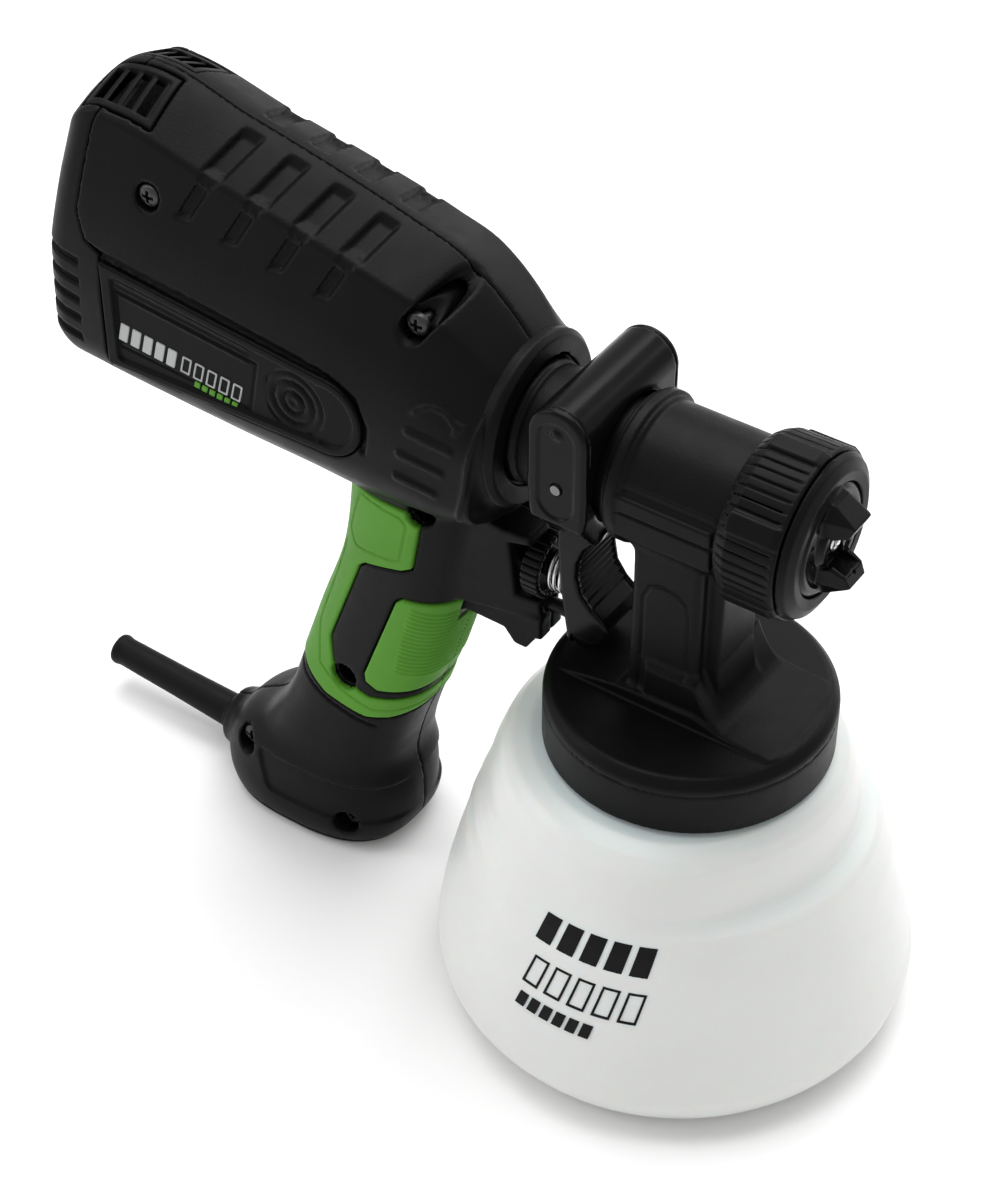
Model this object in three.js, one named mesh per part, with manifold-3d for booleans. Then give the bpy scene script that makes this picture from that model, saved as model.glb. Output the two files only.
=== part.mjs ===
// Electric paint spray gun with a turbine blower: motor housing and handle, a twist-off spray head,
// and a screw-on paint cup. Millimetres, +X along the spray, +Z up, origin at the centre of the cup's base.
import * as THREE from 'three';
import { mergeVertices } from 'three/addons/utils/BufferGeometryUtils.js';
import Module from 'manifold-3d';

const wasm = await Module();
wasm.setup();

// ---------------------------------------------------------------- driving dimensions
const GAP = 0.3; // running gap between neighbouring pieces
const WALL = 2.5; // moulded shell wall

const AXIS_Z = 180; // spray axis above the floor
const CUP_R = 70.5; // widest radius of the paint cup
const CUP_WALL = 2;
const LID_R = 41;
const LID_Z = 93.5; // lower edge of the lid's skirt
const LID_TOP = 108.5; // upper edge of the lid's side wall
const LID_DECK = 112; // flat top of the lid

const TUBE_R = 17; // rear air tube of the spray head
const TUBE_REAR = -66;
const COLLAR_X = -19; // rear edge of the barrel's collar
const COLLAR_R = 21;
const BARREL_R = 19.3;
const BARREL_FRONT = 22;
const NUT_X = 15.5; // rear edge of the nozzle nut
const NUT_R = 24;
const NUT_FRONT = 37.5;

const SOCKET_X = -56; // front plane of the motor housing
const HOUSING_REAR = -177; // joint between the shells and the rear cover
const SIDE_HALF = 30; // half the width of the motor housing
const MOTOR_Z = 190;
const BLADES = 10;

const PIVOT_X = -31; // trigger pivot
const PIVOT_Z = 199;
const YOKE_HALF = 23; // half the width over the trigger's side plates
const KNOB_Z = 132;
const KNOB_R = 10.4;
const KNOB_X = -50.4; // rear face of the flow knob
const KNOB_LONG = 5.8;
const PLUNGER_Z = 117;
const PLUNGER_R = 2.2;
const FOOT_HALF = 23;

// ---------------------------------------------------------------- solids
function toSolid(geometry) {
  const bare = geometry.clone();
  bare.deleteAttribute('normal');
  bare.deleteAttribute('uv');
  const merged = mergeVertices(bare, 1e-4);
  return new wasm.Manifold(new wasm.Mesh({
    numProp: 3,
    vertProperties: new Float32Array(merged.attributes.position.array),
    triVerts: new Uint32Array(merged.index.array),
  }));
}

function toGeometry(solid) {
  const mesh = solid.getMesh();
  const geometry = new THREE.BufferGeometry();
  geometry.setAttribute('position', new THREE.BufferAttribute(mesh.vertProperties, 3));
  geometry.setIndex(new THREE.BufferAttribute(mesh.triVerts, 1));
  return geometry;
}

const join = (...solids) => solids.reduce((all, next) => all.add(next));
const cut = (body, ...tools) => tools.reduce((rest, tool) => rest.subtract(tool), body);

// A box from its lowest and highest corners.
function box(low, high) {
  const size = high.map((value, i) => value - low[i]);
  const geometry = new THREE.BoxGeometry(...size);
  geometry.translate(...high.map((value, i) => (value + low[i]) / 2));
  return toSolid(geometry);
}

// A turned piece: profile holds [radius, distance along the axis] pairs, axis is 'x', 'y' or 'z'.
function turned(profile, axis, centre, segments = 32) {
  const points = profile.map(([radius, along]) => new THREE.Vector2(radius, along));
  const geometry = new THREE.LatheGeometry(points, segments);
  if (axis === 'z') geometry.rotateX(Math.PI / 2);
  if (axis === 'x') geometry.rotateZ(-Math.PI / 2);
  geometry.translate(...centre);
  return toSolid(geometry);
}

// A round bar along an axis, from one station to the other.
function bar(axis, from, to, radius, centre, segments = 24) {
  return turned([[0, from], [radius, from], [radius, to], [0, to]], axis, centre, segments);
}

// A ring along an axis.
function ring(axis, from, to, inner, outer, centre, segments = 32) {
  const profile = [[inner, from], [outer, from], [outer, to], [inner, to], [inner, from]];
  return turned(profile, axis, centre, segments);
}

// A closed skin over rings of points; every ring has the same count and its centre lies inside it.
function loft(rings) {
  const count = rings[0].length;
  const positions = rings.flat().flatMap((p) => [p.x, p.y, p.z]);
  const index = [];
  for (let r = 0; r + 1 < rings.length; r += 1) {
    for (let i = 0; i < count; i += 1) {
      const a = r * count + i;
      const b = r * count + ((i + 1) % count);
      index.push(a, b, b + count, a, b + count, a + count);
    }
  }
  for (const [r, flip] of [[0, true], [rings.length - 1, false]]) {
    const centre = rings[r].reduce((sum, p) => sum.add(p), new THREE.Vector3()).divideScalar(count);
    const hub = positions.length / 3;
    positions.push(centre.x, centre.y, centre.z);
    for (let i = 0; i < count; i += 1) {
      const a = r * count + i;
      const b = r * count + ((i + 1) % count);
      index.push(...(flip ? [b, a, hub] : [a, b, hub]));
    }
  }
  const geometry = new THREE.BufferGeometry();
  geometry.setAttribute('position', new THREE.Float32BufferAttribute(positions, 3));
  geometry.setIndex(index);
  return toSolid(geometry);
}

// An outline in the XZ plane, pushed through Y from y0 to y1. Arcs come as curves on the shape.
function sidePlate(shape, y0, y1, curveSegments = 8) {
  const geometry = new THREE.ExtrudeGeometry(shape, { depth: y1 - y0, bevelEnabled: false, curveSegments });
  geometry.rotateX(Math.PI / 2);
  geometry.translate(0, y1, 0);
  return toSolid(geometry);
}

function polygon(points) {
  return new THREE.Shape(points.map(([x, z]) => new THREE.Vector2(x, z)));
}

// A slot-shaped outline between two centres.
function stadium(x0, z0, x1, z1, radius) {
  const shape = new THREE.Shape();
  const turn = Math.atan2(z1 - z0, x1 - x0);
  shape.absarc(x0, z0, radius, turn + Math.PI / 2, turn + 1.5 * Math.PI, false);
  shape.absarc(x1, z1, radius, turn - Math.PI / 2, turn + Math.PI / 2, false);
  shape.closePath();
  return shape;
}

// A coil spring along X: one round wire on a helix.
function coilSpring(from, to, radius, wire, turns, centre) {
  class Helix extends THREE.Curve {
    getPoint(t, target = new THREE.Vector3()) {
      const angle = t * turns * 2 * Math.PI;
      const [, y, z] = centre;
      return target.set(from + (to - from) * t, y + radius * Math.cos(angle), z + radius * Math.sin(angle));
    }
  }
  const section = new THREE.Shape().absarc(0, 0, wire, 0, 2 * Math.PI, false);
  return toSolid(new THREE.ExtrudeGeometry(section, {
    steps: turns * 10, extrudePath: new Helix(), curveSegments: 2, bevelEnabled: false,
  }));
}

// A bent round tube or rod through a list of points.
function bentRod(points, radius, steps = 20) {
  const path = new THREE.CatmullRomCurve3(points.map((p) => new THREE.Vector3(...p)));
  const section = new THREE.Shape().absarc(0, 0, radius, 0, 2 * Math.PI, false);
  return toSolid(new THREE.ExtrudeGeometry(section, {
    steps, extrudePath: path, curveSegments: 5, bevelEnabled: false,
  }));
}

// ---------------------------------------------------------------- the object as a scene graph
const gun = new THREE.Group();

const finishes = {
  shell: [0x1c1d1e, 0.55, 0],
  gloss: [0x141516, 0.25, 0],
  grip: [0x5aa53a, 0.6, 0],
  cup: [0xf2f3f2, 0.35, 0],
  rubber: [0x151515, 0.85, 0],
  foam: [0x2a2a2a, 0.95, 0],
  steel: [0xb9bcbf, 0.3, 0.9],
  brass: [0xb8924a, 0.35, 0.9],
};

function piece(name, solid, finish) {
  const [color, roughness, metalness] = finishes[finish];
  const material = new THREE.MeshStandardMaterial({ color, roughness, metalness });
  const mesh = new THREE.Mesh(toGeometry(solid), material);
  mesh.name = name;
  gun.add(mesh);
}

const SPRAY = [0, 0, AXIS_Z];
const INLET = [-160, 0, 8.6]; // where the boot leaves the foot, just above the floor
const INLET_TILT = THREE.MathUtils.degToRad(4); // the boot rises towards its tip
const NOSE_R = 9.8;
const MOTOR = [0, 0, MOTOR_Z];
const RIGHT_HALF = box([-300, -100, -50], [100, -GAP / 2, 350]);
const LEFT_HALF = box([-300, GAP / 2, -50], [100, 100, 350]);

// ---------------------------------------------------------------- motor housing outline
// Stations along X: crest height, half width and drop of the roof, half width of the side, underside height.
const HOUSING_STATIONS = [
  { x: HOUSING_REAR, crest: 247.5, roof: 20, drop: 12, side: SIDE_HALF, waist: 201, low: 163.5, under: 146 },
  { x: -142, crest: 240.6, roof: 20, drop: 12, side: SIDE_HALF, waist: 196, low: 162.5, under: 143 },
  { x: -110, crest: 233.5, roof: 20, drop: 12, side: SIDE_HALF, waist: 192, low: 161.5, under: 141 },
  { x: -84, crest: 226.5, roof: 19, drop: 12, side: 29, waist: 190, low: 160.5, under: 142 },
  { x: -68, crest: 219.5, roof: 17, drop: 11, side: 27.5, waist: 188, low: 159, under: 146 },
  { x: SOCKET_X, crest: 207.5, roof: 13, drop: 7, side: 25.8, waist: 186, low: 163, under: 153 },
];
const REAR_STATIONS = [
  { x: HOUSING_REAR, crest: 247.5, roof: 20, drop: 12, side: SIDE_HALF, waist: 201, low: 163.5, under: 146 },
  { x: -187, crest: 245, roof: 20.5, drop: 9, side: SIDE_HALF - 0.5, waist: 200, low: 163.5, under: 147 },
  { x: -193, crest: 238, roof: 19, drop: 9, side: 28.5, waist: 199, low: 164, under: 148 },
  { x: -198, crest: 219, roof: 16, drop: 8, side: 27.5, waist: 194, low: 165, under: 149.5 },
  { x: -202, crest: 198, roof: 12, drop: 6, side: 24, waist: 184, low: 167, under: 154 },
];

const ALL_STATIONS = [...REAR_STATIONS.slice(1).reverse(), ...HOUSING_STATIONS];

// One half of a housing section, from the crest down to the underside, then mirrored to the other side.
function housingRing({ x, crest, roof, drop, side, waist, low, under }, inset = 0) {
  const half = [
    [0, crest - inset * 1.1],
    [roof * 0.55, crest - drop * 0.42 - inset],
    [roof - inset * 0.5, crest - drop - inset * 0.7],
    [side - 3 - inset, (crest - drop) * 0.6 + waist * 0.4],
    [side - inset, waist],
    [side - inset, low + (waist - low) * 0.35],
    [side - 1.5 - inset, low + inset * 0.3],
    [side * 0.55, under + (low - under) * 0.25 + inset],
    [0, under + inset],
  ];
  const back = half.slice(1, -1).reverse().map(([y, z]) => [-y, z]);
  return [...half, ...back].map(([y, z]) => new THREE.Vector3(x, y, z));
}

// The housing between its first and last station, each moved along X by its own shift.
function housingSolid(stations, inset, firstShift = 0, lastShift = 0) {
  const rings = stations.map((station, i) => {
    const shift = i === 0 ? firstShift : i === stations.length - 1 ? lastShift : 0;
    return housingRing({ ...station, x: station.x + shift }, inset);
  });
  return loft(rings[0][0].x > rings[1][0].x ? rings : rings.reverse());
}

// The joint between the shells and the rear cover, seen from the side.
const LIP = [[-177, 248], [-182, 236], [-185, 211], [-182, 203], [HOUSING_REAR, 200]];
const LIP_ENDS = [[HOUSING_REAR, 300], [HOUSING_REAR, 100]];

function behindLip(shift) {
  const edge = [LIP_ENDS[0], ...LIP, LIP_ENDS[1]].map(([x, z]) => [x + shift, z]);
  return sidePlate(polygon([...edge, [-260, 100], [-260, 300]]), -SIDE_HALF - 5, SIDE_HALF + 5);
}

// ---------------------------------------------------------------- handle and foot outline
// Stations up the handle: rear and front edge on the middle plane, and half width.
const HANDLE_STATIONS = [
  { z: 0, rear: -157, front: -100, half: FOOT_HALF - 1.5 },
  { z: 4, rear: -158.5, front: -96.5, half: FOOT_HALF - 0.5 },
  { z: 18, rear: -159, front: -93, half: FOOT_HALF - 0.5 },
  { z: 27, rear: -153, front: -93.5, half: FOOT_HALF - 1 },
  { z: 38, rear: -142, front: -93.5, half: 20.5 },
  { z: 50, rear: -134, front: -91, half: 18.5 },
  { z: 62, rear: -130, front: -87.5, half: 17.3 },
  { z: 90, rear: -120, front: -78.5, half: 16.6 },
  { z: 117, rear: -110.5, front: -70.5, half: 16.6 },
  { z: 140, rear: -107, front: -66, half: 16.6 },
  { z: 166, rear: -108, front: -62, half: 16.6 },
];

function handleRing({ z, rear, front, half }, inset = 0, count = 24) {
  const middle = (rear + front) / 2;
  const reach = (front - rear) / 2 - inset;
  const power = 0.8; // below 1 squares the oval's corners
  return Array.from({ length: count }, (_, i) => {
    const angle = (i / count) * 2 * Math.PI;
    const c = Math.cos(angle);
    const s = Math.sin(angle);
    const x = middle + reach * Math.sign(c) * Math.abs(c) ** power;
    const y = (half - inset) * Math.sign(s) * Math.abs(s) ** power;
    return new THREE.Vector3(x, y, z);
  });
}

// The handle between two heights; a positive inset gives its hollow.
function handleSolid(fromZ, toZ, inset = 0) {
  const inner = HANDLE_STATIONS.filter(({ z }) => z > fromZ + 1 && z < toZ - 1);
  const ends = [fromZ, toZ].map((z) => {
    const above = HANDLE_STATIONS.findIndex((station) => station.z >= z);
    const b = HANDLE_STATIONS[Math.max(above, 1)];
    const a = HANDLE_STATIONS[Math.max(above, 1) - 1];
    const t = (z - a.z) / (b.z - a.z);
    const mix = (key) => a[key] + (b[key] - a[key]) * t;
    return { z, rear: mix('rear'), front: mix('front'), half: mix('half') };
  });
  return loft([ends[0], ...inner, ends[1]].map((station) => handleRing(station, inset)));
}

// ---------------------------------------------------------------- clamshell
const HORN_HALF = 12;
const HORN_OUTLINE = polygon([
  [-80, 113.5], [-60, 112.5], [-46, 112.5], [-46, 121], [-53, 121],
  [-53, 144], [-47, 144.5], [-47, 147], [-57, 149.5], [-80, 149.5],
]);
const KEEL_HALF = 5.5;
const KEEL_OUTLINE = polygon([
  [-80, 105], [-58, 105], [-54.5, 101], [-51, 101], [-47.5, 106.5], [-46, 106.5], [-46, 114], [-80, 115],
]);
const HORN_HOLLOW = polygon([[-84, 116], [-60, 115.2], [-55.5, 123.5], [-55.5, 142], [-59, 147], [-84, 147]]);
const SCREWS = [
  { name: 'housing_screw_rear', x: -162, z: 221.5, face: -27 },
  { name: 'housing_screw_front', x: -76.8, z: 211.5, face: -23 },
  { name: 'grip_screw_top', x: -78, z: 146, face: -16 },
  { name: 'grip_screw_low', x: -107, z: 71, face: -15.5 },
  { name: 'foot_screw_rear', x: -146, z: 24, face: -20.5 },
  { name: 'foot_screw_front', x: -107, z: 11, face: -21 },
];
const SCREW_HEAD_R = 3.4;
const SCREW_HEAD = 2.4;
const SCREW_R = 1.6;
const BOSS_R = 4.6;
const BOOT_R = 5.8;
const FLANGE_R = 7;
const SLOT_COUNT = 4;
const SLOT_WIDTH = 4.4;
const SLOT_DEPTH = 1.2;
const SLOT_TOP = { x: -138.8, z: 240.3, stepX: 14.8, stepZ: -3.2 };
const SLOT_END = { x: -149.6, z: 219.6, stepX: 15.2, stepZ: -2.5 };

// The shallow slots that cross the roof's edge on both sides, leaning back towards their lower ends.
function coolingSlots() {
  const half = SLOT_WIDTH / 2;
  const cuts = [];
  for (let i = 0; i < SLOT_COUNT; i += 1) {
    const [topX, endX] = [SLOT_TOP, SLOT_END].map(({ x, stepX }) => x + i * stepX);
    const [topZ, endZ] = [SLOT_TOP, SLOT_END].map(({ z, stepZ }) => z + i * stepZ);
    const lean = polygon([
      [topX + half, topZ + 3], [topX - half, topZ + 3], [endX - half, endZ], [endX + half, endZ],
    ]);
    cuts.push(sidePlate(lean, -40, -3), sidePlate(lean, 3, 40));
  }
  return join(...cuts);
}

function clamshell() {
  const outerHull = cut(housingSolid(ALL_STATIONS, 0), behindLip(0));
  const innerHull = housingSolid(ALL_STATIONS, WALL, 0, -WALL);
  const slotFloor = housingSolid(HOUSING_STATIONS, SLOT_DEPTH, -1, 1);
  const slots = cut(coolingSlots(), slotFloor);
  const handle = handleSolid(0, 166);
  const handleHollow = handleSolid(2.5, 160, WALL);
  const inletNose = bar('x', -166, -140, NOSE_R, [0, 0, NOSE_R + 0.1], 24);
  const horn = join(
    sidePlate(HORN_OUTLINE, -HORN_HALF, HORN_HALF),
    sidePlate(KEEL_OUTLINE, -KEEL_HALF, KEEL_HALF),
  );
  const hornHollow = sidePlate(HORN_HOLLOW, -HORN_HALF + WALL, HORN_HALF - WALL);
  const outside = join(outerHull, handle, inletNose, horn);
  const inside = join(innerHull, handleHollow, hornHollow);
  const walls = cut(
    outside,
    inside,
    slots,
    // bore for the spray head's bayonet socket
    bar('x', -90, -50, 21.6, SPRAY, 32),
    // cord inlet
    inletTurned([
      [0, -16], [BOOT_R + GAP, -16], [BOOT_R + GAP, 4.6],
      [FLANGE_R + GAP, 4.6], [FLANGE_R + GAP, 20], [0, 20],
    ]),
    // hole for the flow knob's stem, and for the switch plunger
    bar('x', -60, -45, 3.4, [0, 0, KNOB_Z], 16),
    bar('x', -79, -40, PLUNGER_R + 0.5, [0, 0, PLUNGER_Z], 16),
    // seats of the vent grilles
    ...grilleSeats(),
    // seats of the side panels
    ...[-1, 1].map((side) => panelSeat(side)),
  );
  const bosses = SCREWS.map(({ x, z }) => bar('y', -SIDE_HALF, SIDE_HALF, BOSS_R, [x, 0, z], 12));
  return cut(walls.add(join(...bosses).intersect(outside)), ...SCREWS.map(screwHole));
}

// Room for one screw: a recess for its head, a clear hole, and a blind pilot hole beyond the joint.
function screwHole({ x, z, face }) {
  const recess = bar('y', -60, face + 6, SCREW_HEAD_R + GAP + 0.4, [x, 0, z], 12);
  const shank = bar('y', face, 11, SCREW_R + GAP, [x, 0, z], 8);
  return join(recess, shank);
}

function screw({ x, z, face }) {
  const seat = face + 6 - GAP;
  const head = bar('y', seat - SCREW_HEAD, seat, SCREW_HEAD_R, [x, 0, z], 12);
  const shank = bar('y', seat - 0.5, 10.5, SCREW_R, [x, 0, z], 8);
  const drive = join(
    box([x - 1.9, seat - 5, z - 0.45], [x + 1.9, seat - 1.2, z + 0.45]),
    box([x - 0.45, seat - 5, z - 1.9], [x + 0.45, seat - 1.2, z + 1.9]),
  );
  return cut(head.add(shank), drive);
}

// ---------------------------------------------------------------- side panels and vent grilles
const PANEL_OUTLINE = polygon([[HOUSING_REAR + 1, 165], [-101, 166.5], [-101, 190], [HOUSING_REAR + 1, 200]]);
const PANEL_END = { x: -101, z: 178.2, r: 11.8 };

function panelOutline(grow) {
  const round = new THREE.Shape();
  round.absarc(PANEL_END.x, PANEL_END.z, PANEL_END.r + grow, 0, 2 * Math.PI, false);
  return [PANEL_OUTLINE, round];
}

function panelBlock(side, y0, y1, grow) {
  const [low, high] = side < 0 ? [-y1, -y0] : [y0, y1];
  return join(...panelOutline(grow).map((shape) => sidePlate(shape, low, high)));
}

const panelSeat = (side) => panelBlock(side, SIDE_HALF - 1.6, SIDE_HALF + 6, GAP);

function sidePanel(side) {
  const plate = panelBlock(side, SIDE_HALF - 1.3, SIDE_HALF + 3, 0);
  const [low, high] = side < 0 ? [-SIDE_HALF - 9, -SIDE_HALF - 2] : [SIDE_HALF + 2, SIDE_HALF + 9];
  const label = sidePlate(stadium(-166, 181.5, -111, 177.5, 8.6), low, high, 6);
  return cut(plate, label);
}

const GRILLE = { x0: -187.5, x1: -164.5, y0: 2.6, y1: 17.2 };

function grilleBlock(side, x0, x1, y0, y1, drop0, drop1) {
  const [low, high] = side < 0 ? [-y1, -y0] : [y0, y1];
  const crestAt = (x) => 247.5 - (x - HOUSING_REAR) * 0.2;
  const outline = polygon([
    [x0, crestAt(x0) - drop1], [x1, crestAt(x1) - drop1],
    [x1, crestAt(x1) - drop0], [x0, crestAt(x0) - drop0],
  ]);
  return sidePlate(outline, low, high);
}

function grilleSeats() {
  const { x0, x1, y0, y1 } = GRILLE;
  return [-1, 1].map((side) => grilleBlock(side, x0, x1, y0, y1, -8, 20));
}

// Four sloping louvre blades in a frame that fills its opening in the roof.
function ventGrille(side) {
  const { x0, x1, y0, y1 } = GRILLE;
  const hull = cut(
    housingSolid(ALL_STATIONS, 0.8),
    housingSolid(ALL_STATIONS, 3.4, -2, 2),
  );
  const frame = grilleBlock(side, x0 + GAP, x1 - GAP, y0 + GAP, y1 - GAP, -9, 22);
  const pitch = (x1 - x0 - 3) / 4;
  const slots = Array.from({ length: 4 }, (_, i) => {
    const start = x0 + 2.4 + i * pitch;
    return grilleBlock(side, start, start + pitch * 0.5, y0 + 2.2, y1 - 2.2, -10, 24);
  });
  return cut(hull.intersect(frame), ...slots);
}

// ---------------------------------------------------------------- rear of the motor unit
function rearCover() {
  const outer = housingSolid(ALL_STATIONS, 0).intersect(behindLip(-GAP));
  const inner = housingSolid(ALL_STATIONS.slice(1), WALL, -1.5, 0);
  const grooves = [];
  for (let i = 0; i < 5; i += 1) {
    const z = 172 + i * 8;
    grooves.push(box([-193, -40, z], [-182, -SIDE_HALF + 3.2, z + 3.2]));
    grooves.push(box([-193, SIDE_HALF - 3.2, z], [-182, 40, z + 3.2]));
  }
  return cut(outer, inner, ...grooves, ...grilleSeats());
}

function airFilter() {
  const stations = REAR_STATIONS.slice(0, 2).map((station) => ({ ...station }));
  return housingSolid(stations, WALL + 2.5, -1.5, 3);
}

function motorUnitInternals() {
  piece('motor_body', join(
    bar('x', -162, -116, 21, MOTOR, 28),
    bar('x', -167, -162, 8, MOTOR, 20),
  ).subtract(bar('x', -168, -115, 5, MOTOR, 16)), 'steel');
  piece('rear_bearing', ring('x', -173, -167.4, 3.4, 8, MOTOR, 20), 'steel');
  piece('front_bearing', ring('x', -115.6, -110, 3.4, 8, MOTOR, 20), 'steel');
  const rotor = [
    bar('x', -175.5, -89, 3, MOTOR, 16),
    bar('x', -104, -102, 21, MOTOR, 28),
    bar('x', -104, -92, 6, MOTOR, 16),
  ];
  for (let i = 0; i < BLADES; i += 1) {
    const blade = new THREE.BoxGeometry(10, 15, 1.4);
    blade.translate(-97.2, 13.2, 0);
    blade.rotateX((i / BLADES) * 2 * Math.PI);
    blade.translate(...MOTOR);
    rotor.push(toSolid(blade));
  }
  piece('turbine_impeller', join(...rotor), 'steel');
  piece('turbine_shroud', cut(
    turned([[0, -108], [24, -108], [24, -91], [19, -83.2], [0, -83.2]], 'x', MOTOR, 28),
    turned([[0, -106], [22.4, -106], [22.4, -92], [17, -86], [0, -86]], 'x', MOTOR, 28),
    bar('x', -109, -105, 12, MOTOR, 24),
    bar('x', -87, -82, 8, [0, 0, MOTOR_Z - 4], 20),
  ), 'shell');
  piece('bayonet_socket', cut(
    join(
      ring('x', -82.9, -53, TUBE_R + GAP, 21.2, SPRAY, 32),
      turned([[20, -55.5], [23.4, -55.5], [25, -53.5], [25, -50.5], [22.5, -49.5], [20, -50.5], [20, -55.5]],
        'x', SPRAY, 32),
    ),
    bar('x', -60, -48, TUBE_R + GAP, SPRAY, 32),
  ), 'shell');
}

// ---------------------------------------------------------------- handle pieces
// A skin of the handle between two heights, thick enough to sit proud of the shell by the stated amount.
function handleSkin(z0, z1, proud) {
  return cut(handleSolid(z0, z1, -proud), handleSolid(z0 - 5, z1 + 5, GAP * -1));
}

function greenGrips() {
  const proud = 1.9;
  const skin = handleSkin(61, 143.5, proud);
  const rearLine = polygon([
    [-140, 143.5], [-82, 143.5], [-79.5, 140], [-82.5, 122.5], [-98, 118.5], [-110.5, 80],
    [-107, 69.5], [-84, 66], [-80, 66], [-80, 58], [-140, 58],
  ]);
  const frontLine = polygon([[-84, 112], [-60, 112], [-60, 71], [-101, 71], [-101.5, 76]]);
  const keelRoom = box([-90, -KEEL_HALF - GAP, 105 - GAP], [-50, KEEL_HALF + GAP, 130]);
  const rear = skin.intersect(sidePlate(rearLine, -30, 30));
  const front = cut(handleSkin(70, 112, proud).intersect(sidePlate(frontLine, -30, 30)), keelRoom);
  const holes = SCREWS.slice(2, 4).map(({ x, z }) => bar('y', -30, 0, SCREW_HEAD_R + 2, [x, 0, z], 16));
  const trimmed = cut(rear, ...holes, sidePlate(HORN_OUTLINE, -HORN_HALF - 1, HORN_HALF + 1));
  const underHousing = housingSolid(HOUSING_STATIONS, -GAP, -1, 1);
  piece('rear_grip_right', cut(trimmed, underHousing).intersect(RIGHT_HALF), 'grip');
  piece('rear_grip_left', cut(trimmed, underHousing).intersect(LEFT_HALF), 'grip');
  piece('front_grip_right', front.intersect(RIGHT_HALF), 'grip');
  piece('front_grip_left', front.intersect(LEFT_HALF), 'grip');
}

// A piece turned about the cord inlet's own axis, which runs forward and slightly down into the foot.
function inletTurned(profile) {
  const geometry = new THREE.LatheGeometry(profile.map(([r, along]) => new THREE.Vector2(r, along)), 20);
  geometry.rotateZ(-Math.PI / 2);
  geometry.rotateY(INLET_TILT);
  geometry.translate(...INLET);
  return toSolid(geometry);
}

function handleInternals() {
  const switchCase = cut(
    box([-96, -7, PLUNGER_Z - 10], [-79, 7, PLUNGER_Z + 9]),
    bar('x', -93, -78, PLUNGER_R + 0.4, [0, 0, PLUNGER_Z], 16),
  );
  piece('power_switch', switchCase, 'shell');
  piece('switch_plunger', bar('x', -81, -37.5, PLUNGER_R, [0, 0, PLUNGER_Z], 16), 'gloss');
  const boot = inletTurned([
    [0, -56], [5.2, -56], [5.4, -53.5], [4.4, -51], [BOOT_R, -6],
    [BOOT_R, 5], [FLANGE_R, 5], [FLANGE_R, 9], [0, 9],
  ]);
  piece('strain_relief', cut(boot, inletTurned([[0, -58], [2.9, -58], [2.9, 10], [0, 10]])), 'rubber');
  piece('inner_lead', bentRod([
    [-150.5, 0, 8.1], [-140, 0, 12], [-130, 0, 32], [-122, 0, 55],
    [-118, 0, 72], [-113, 0, 90], [-106, 0, 105], [-98, 0, 113],
  ], 2.2, 20), 'rubber');
}

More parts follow.
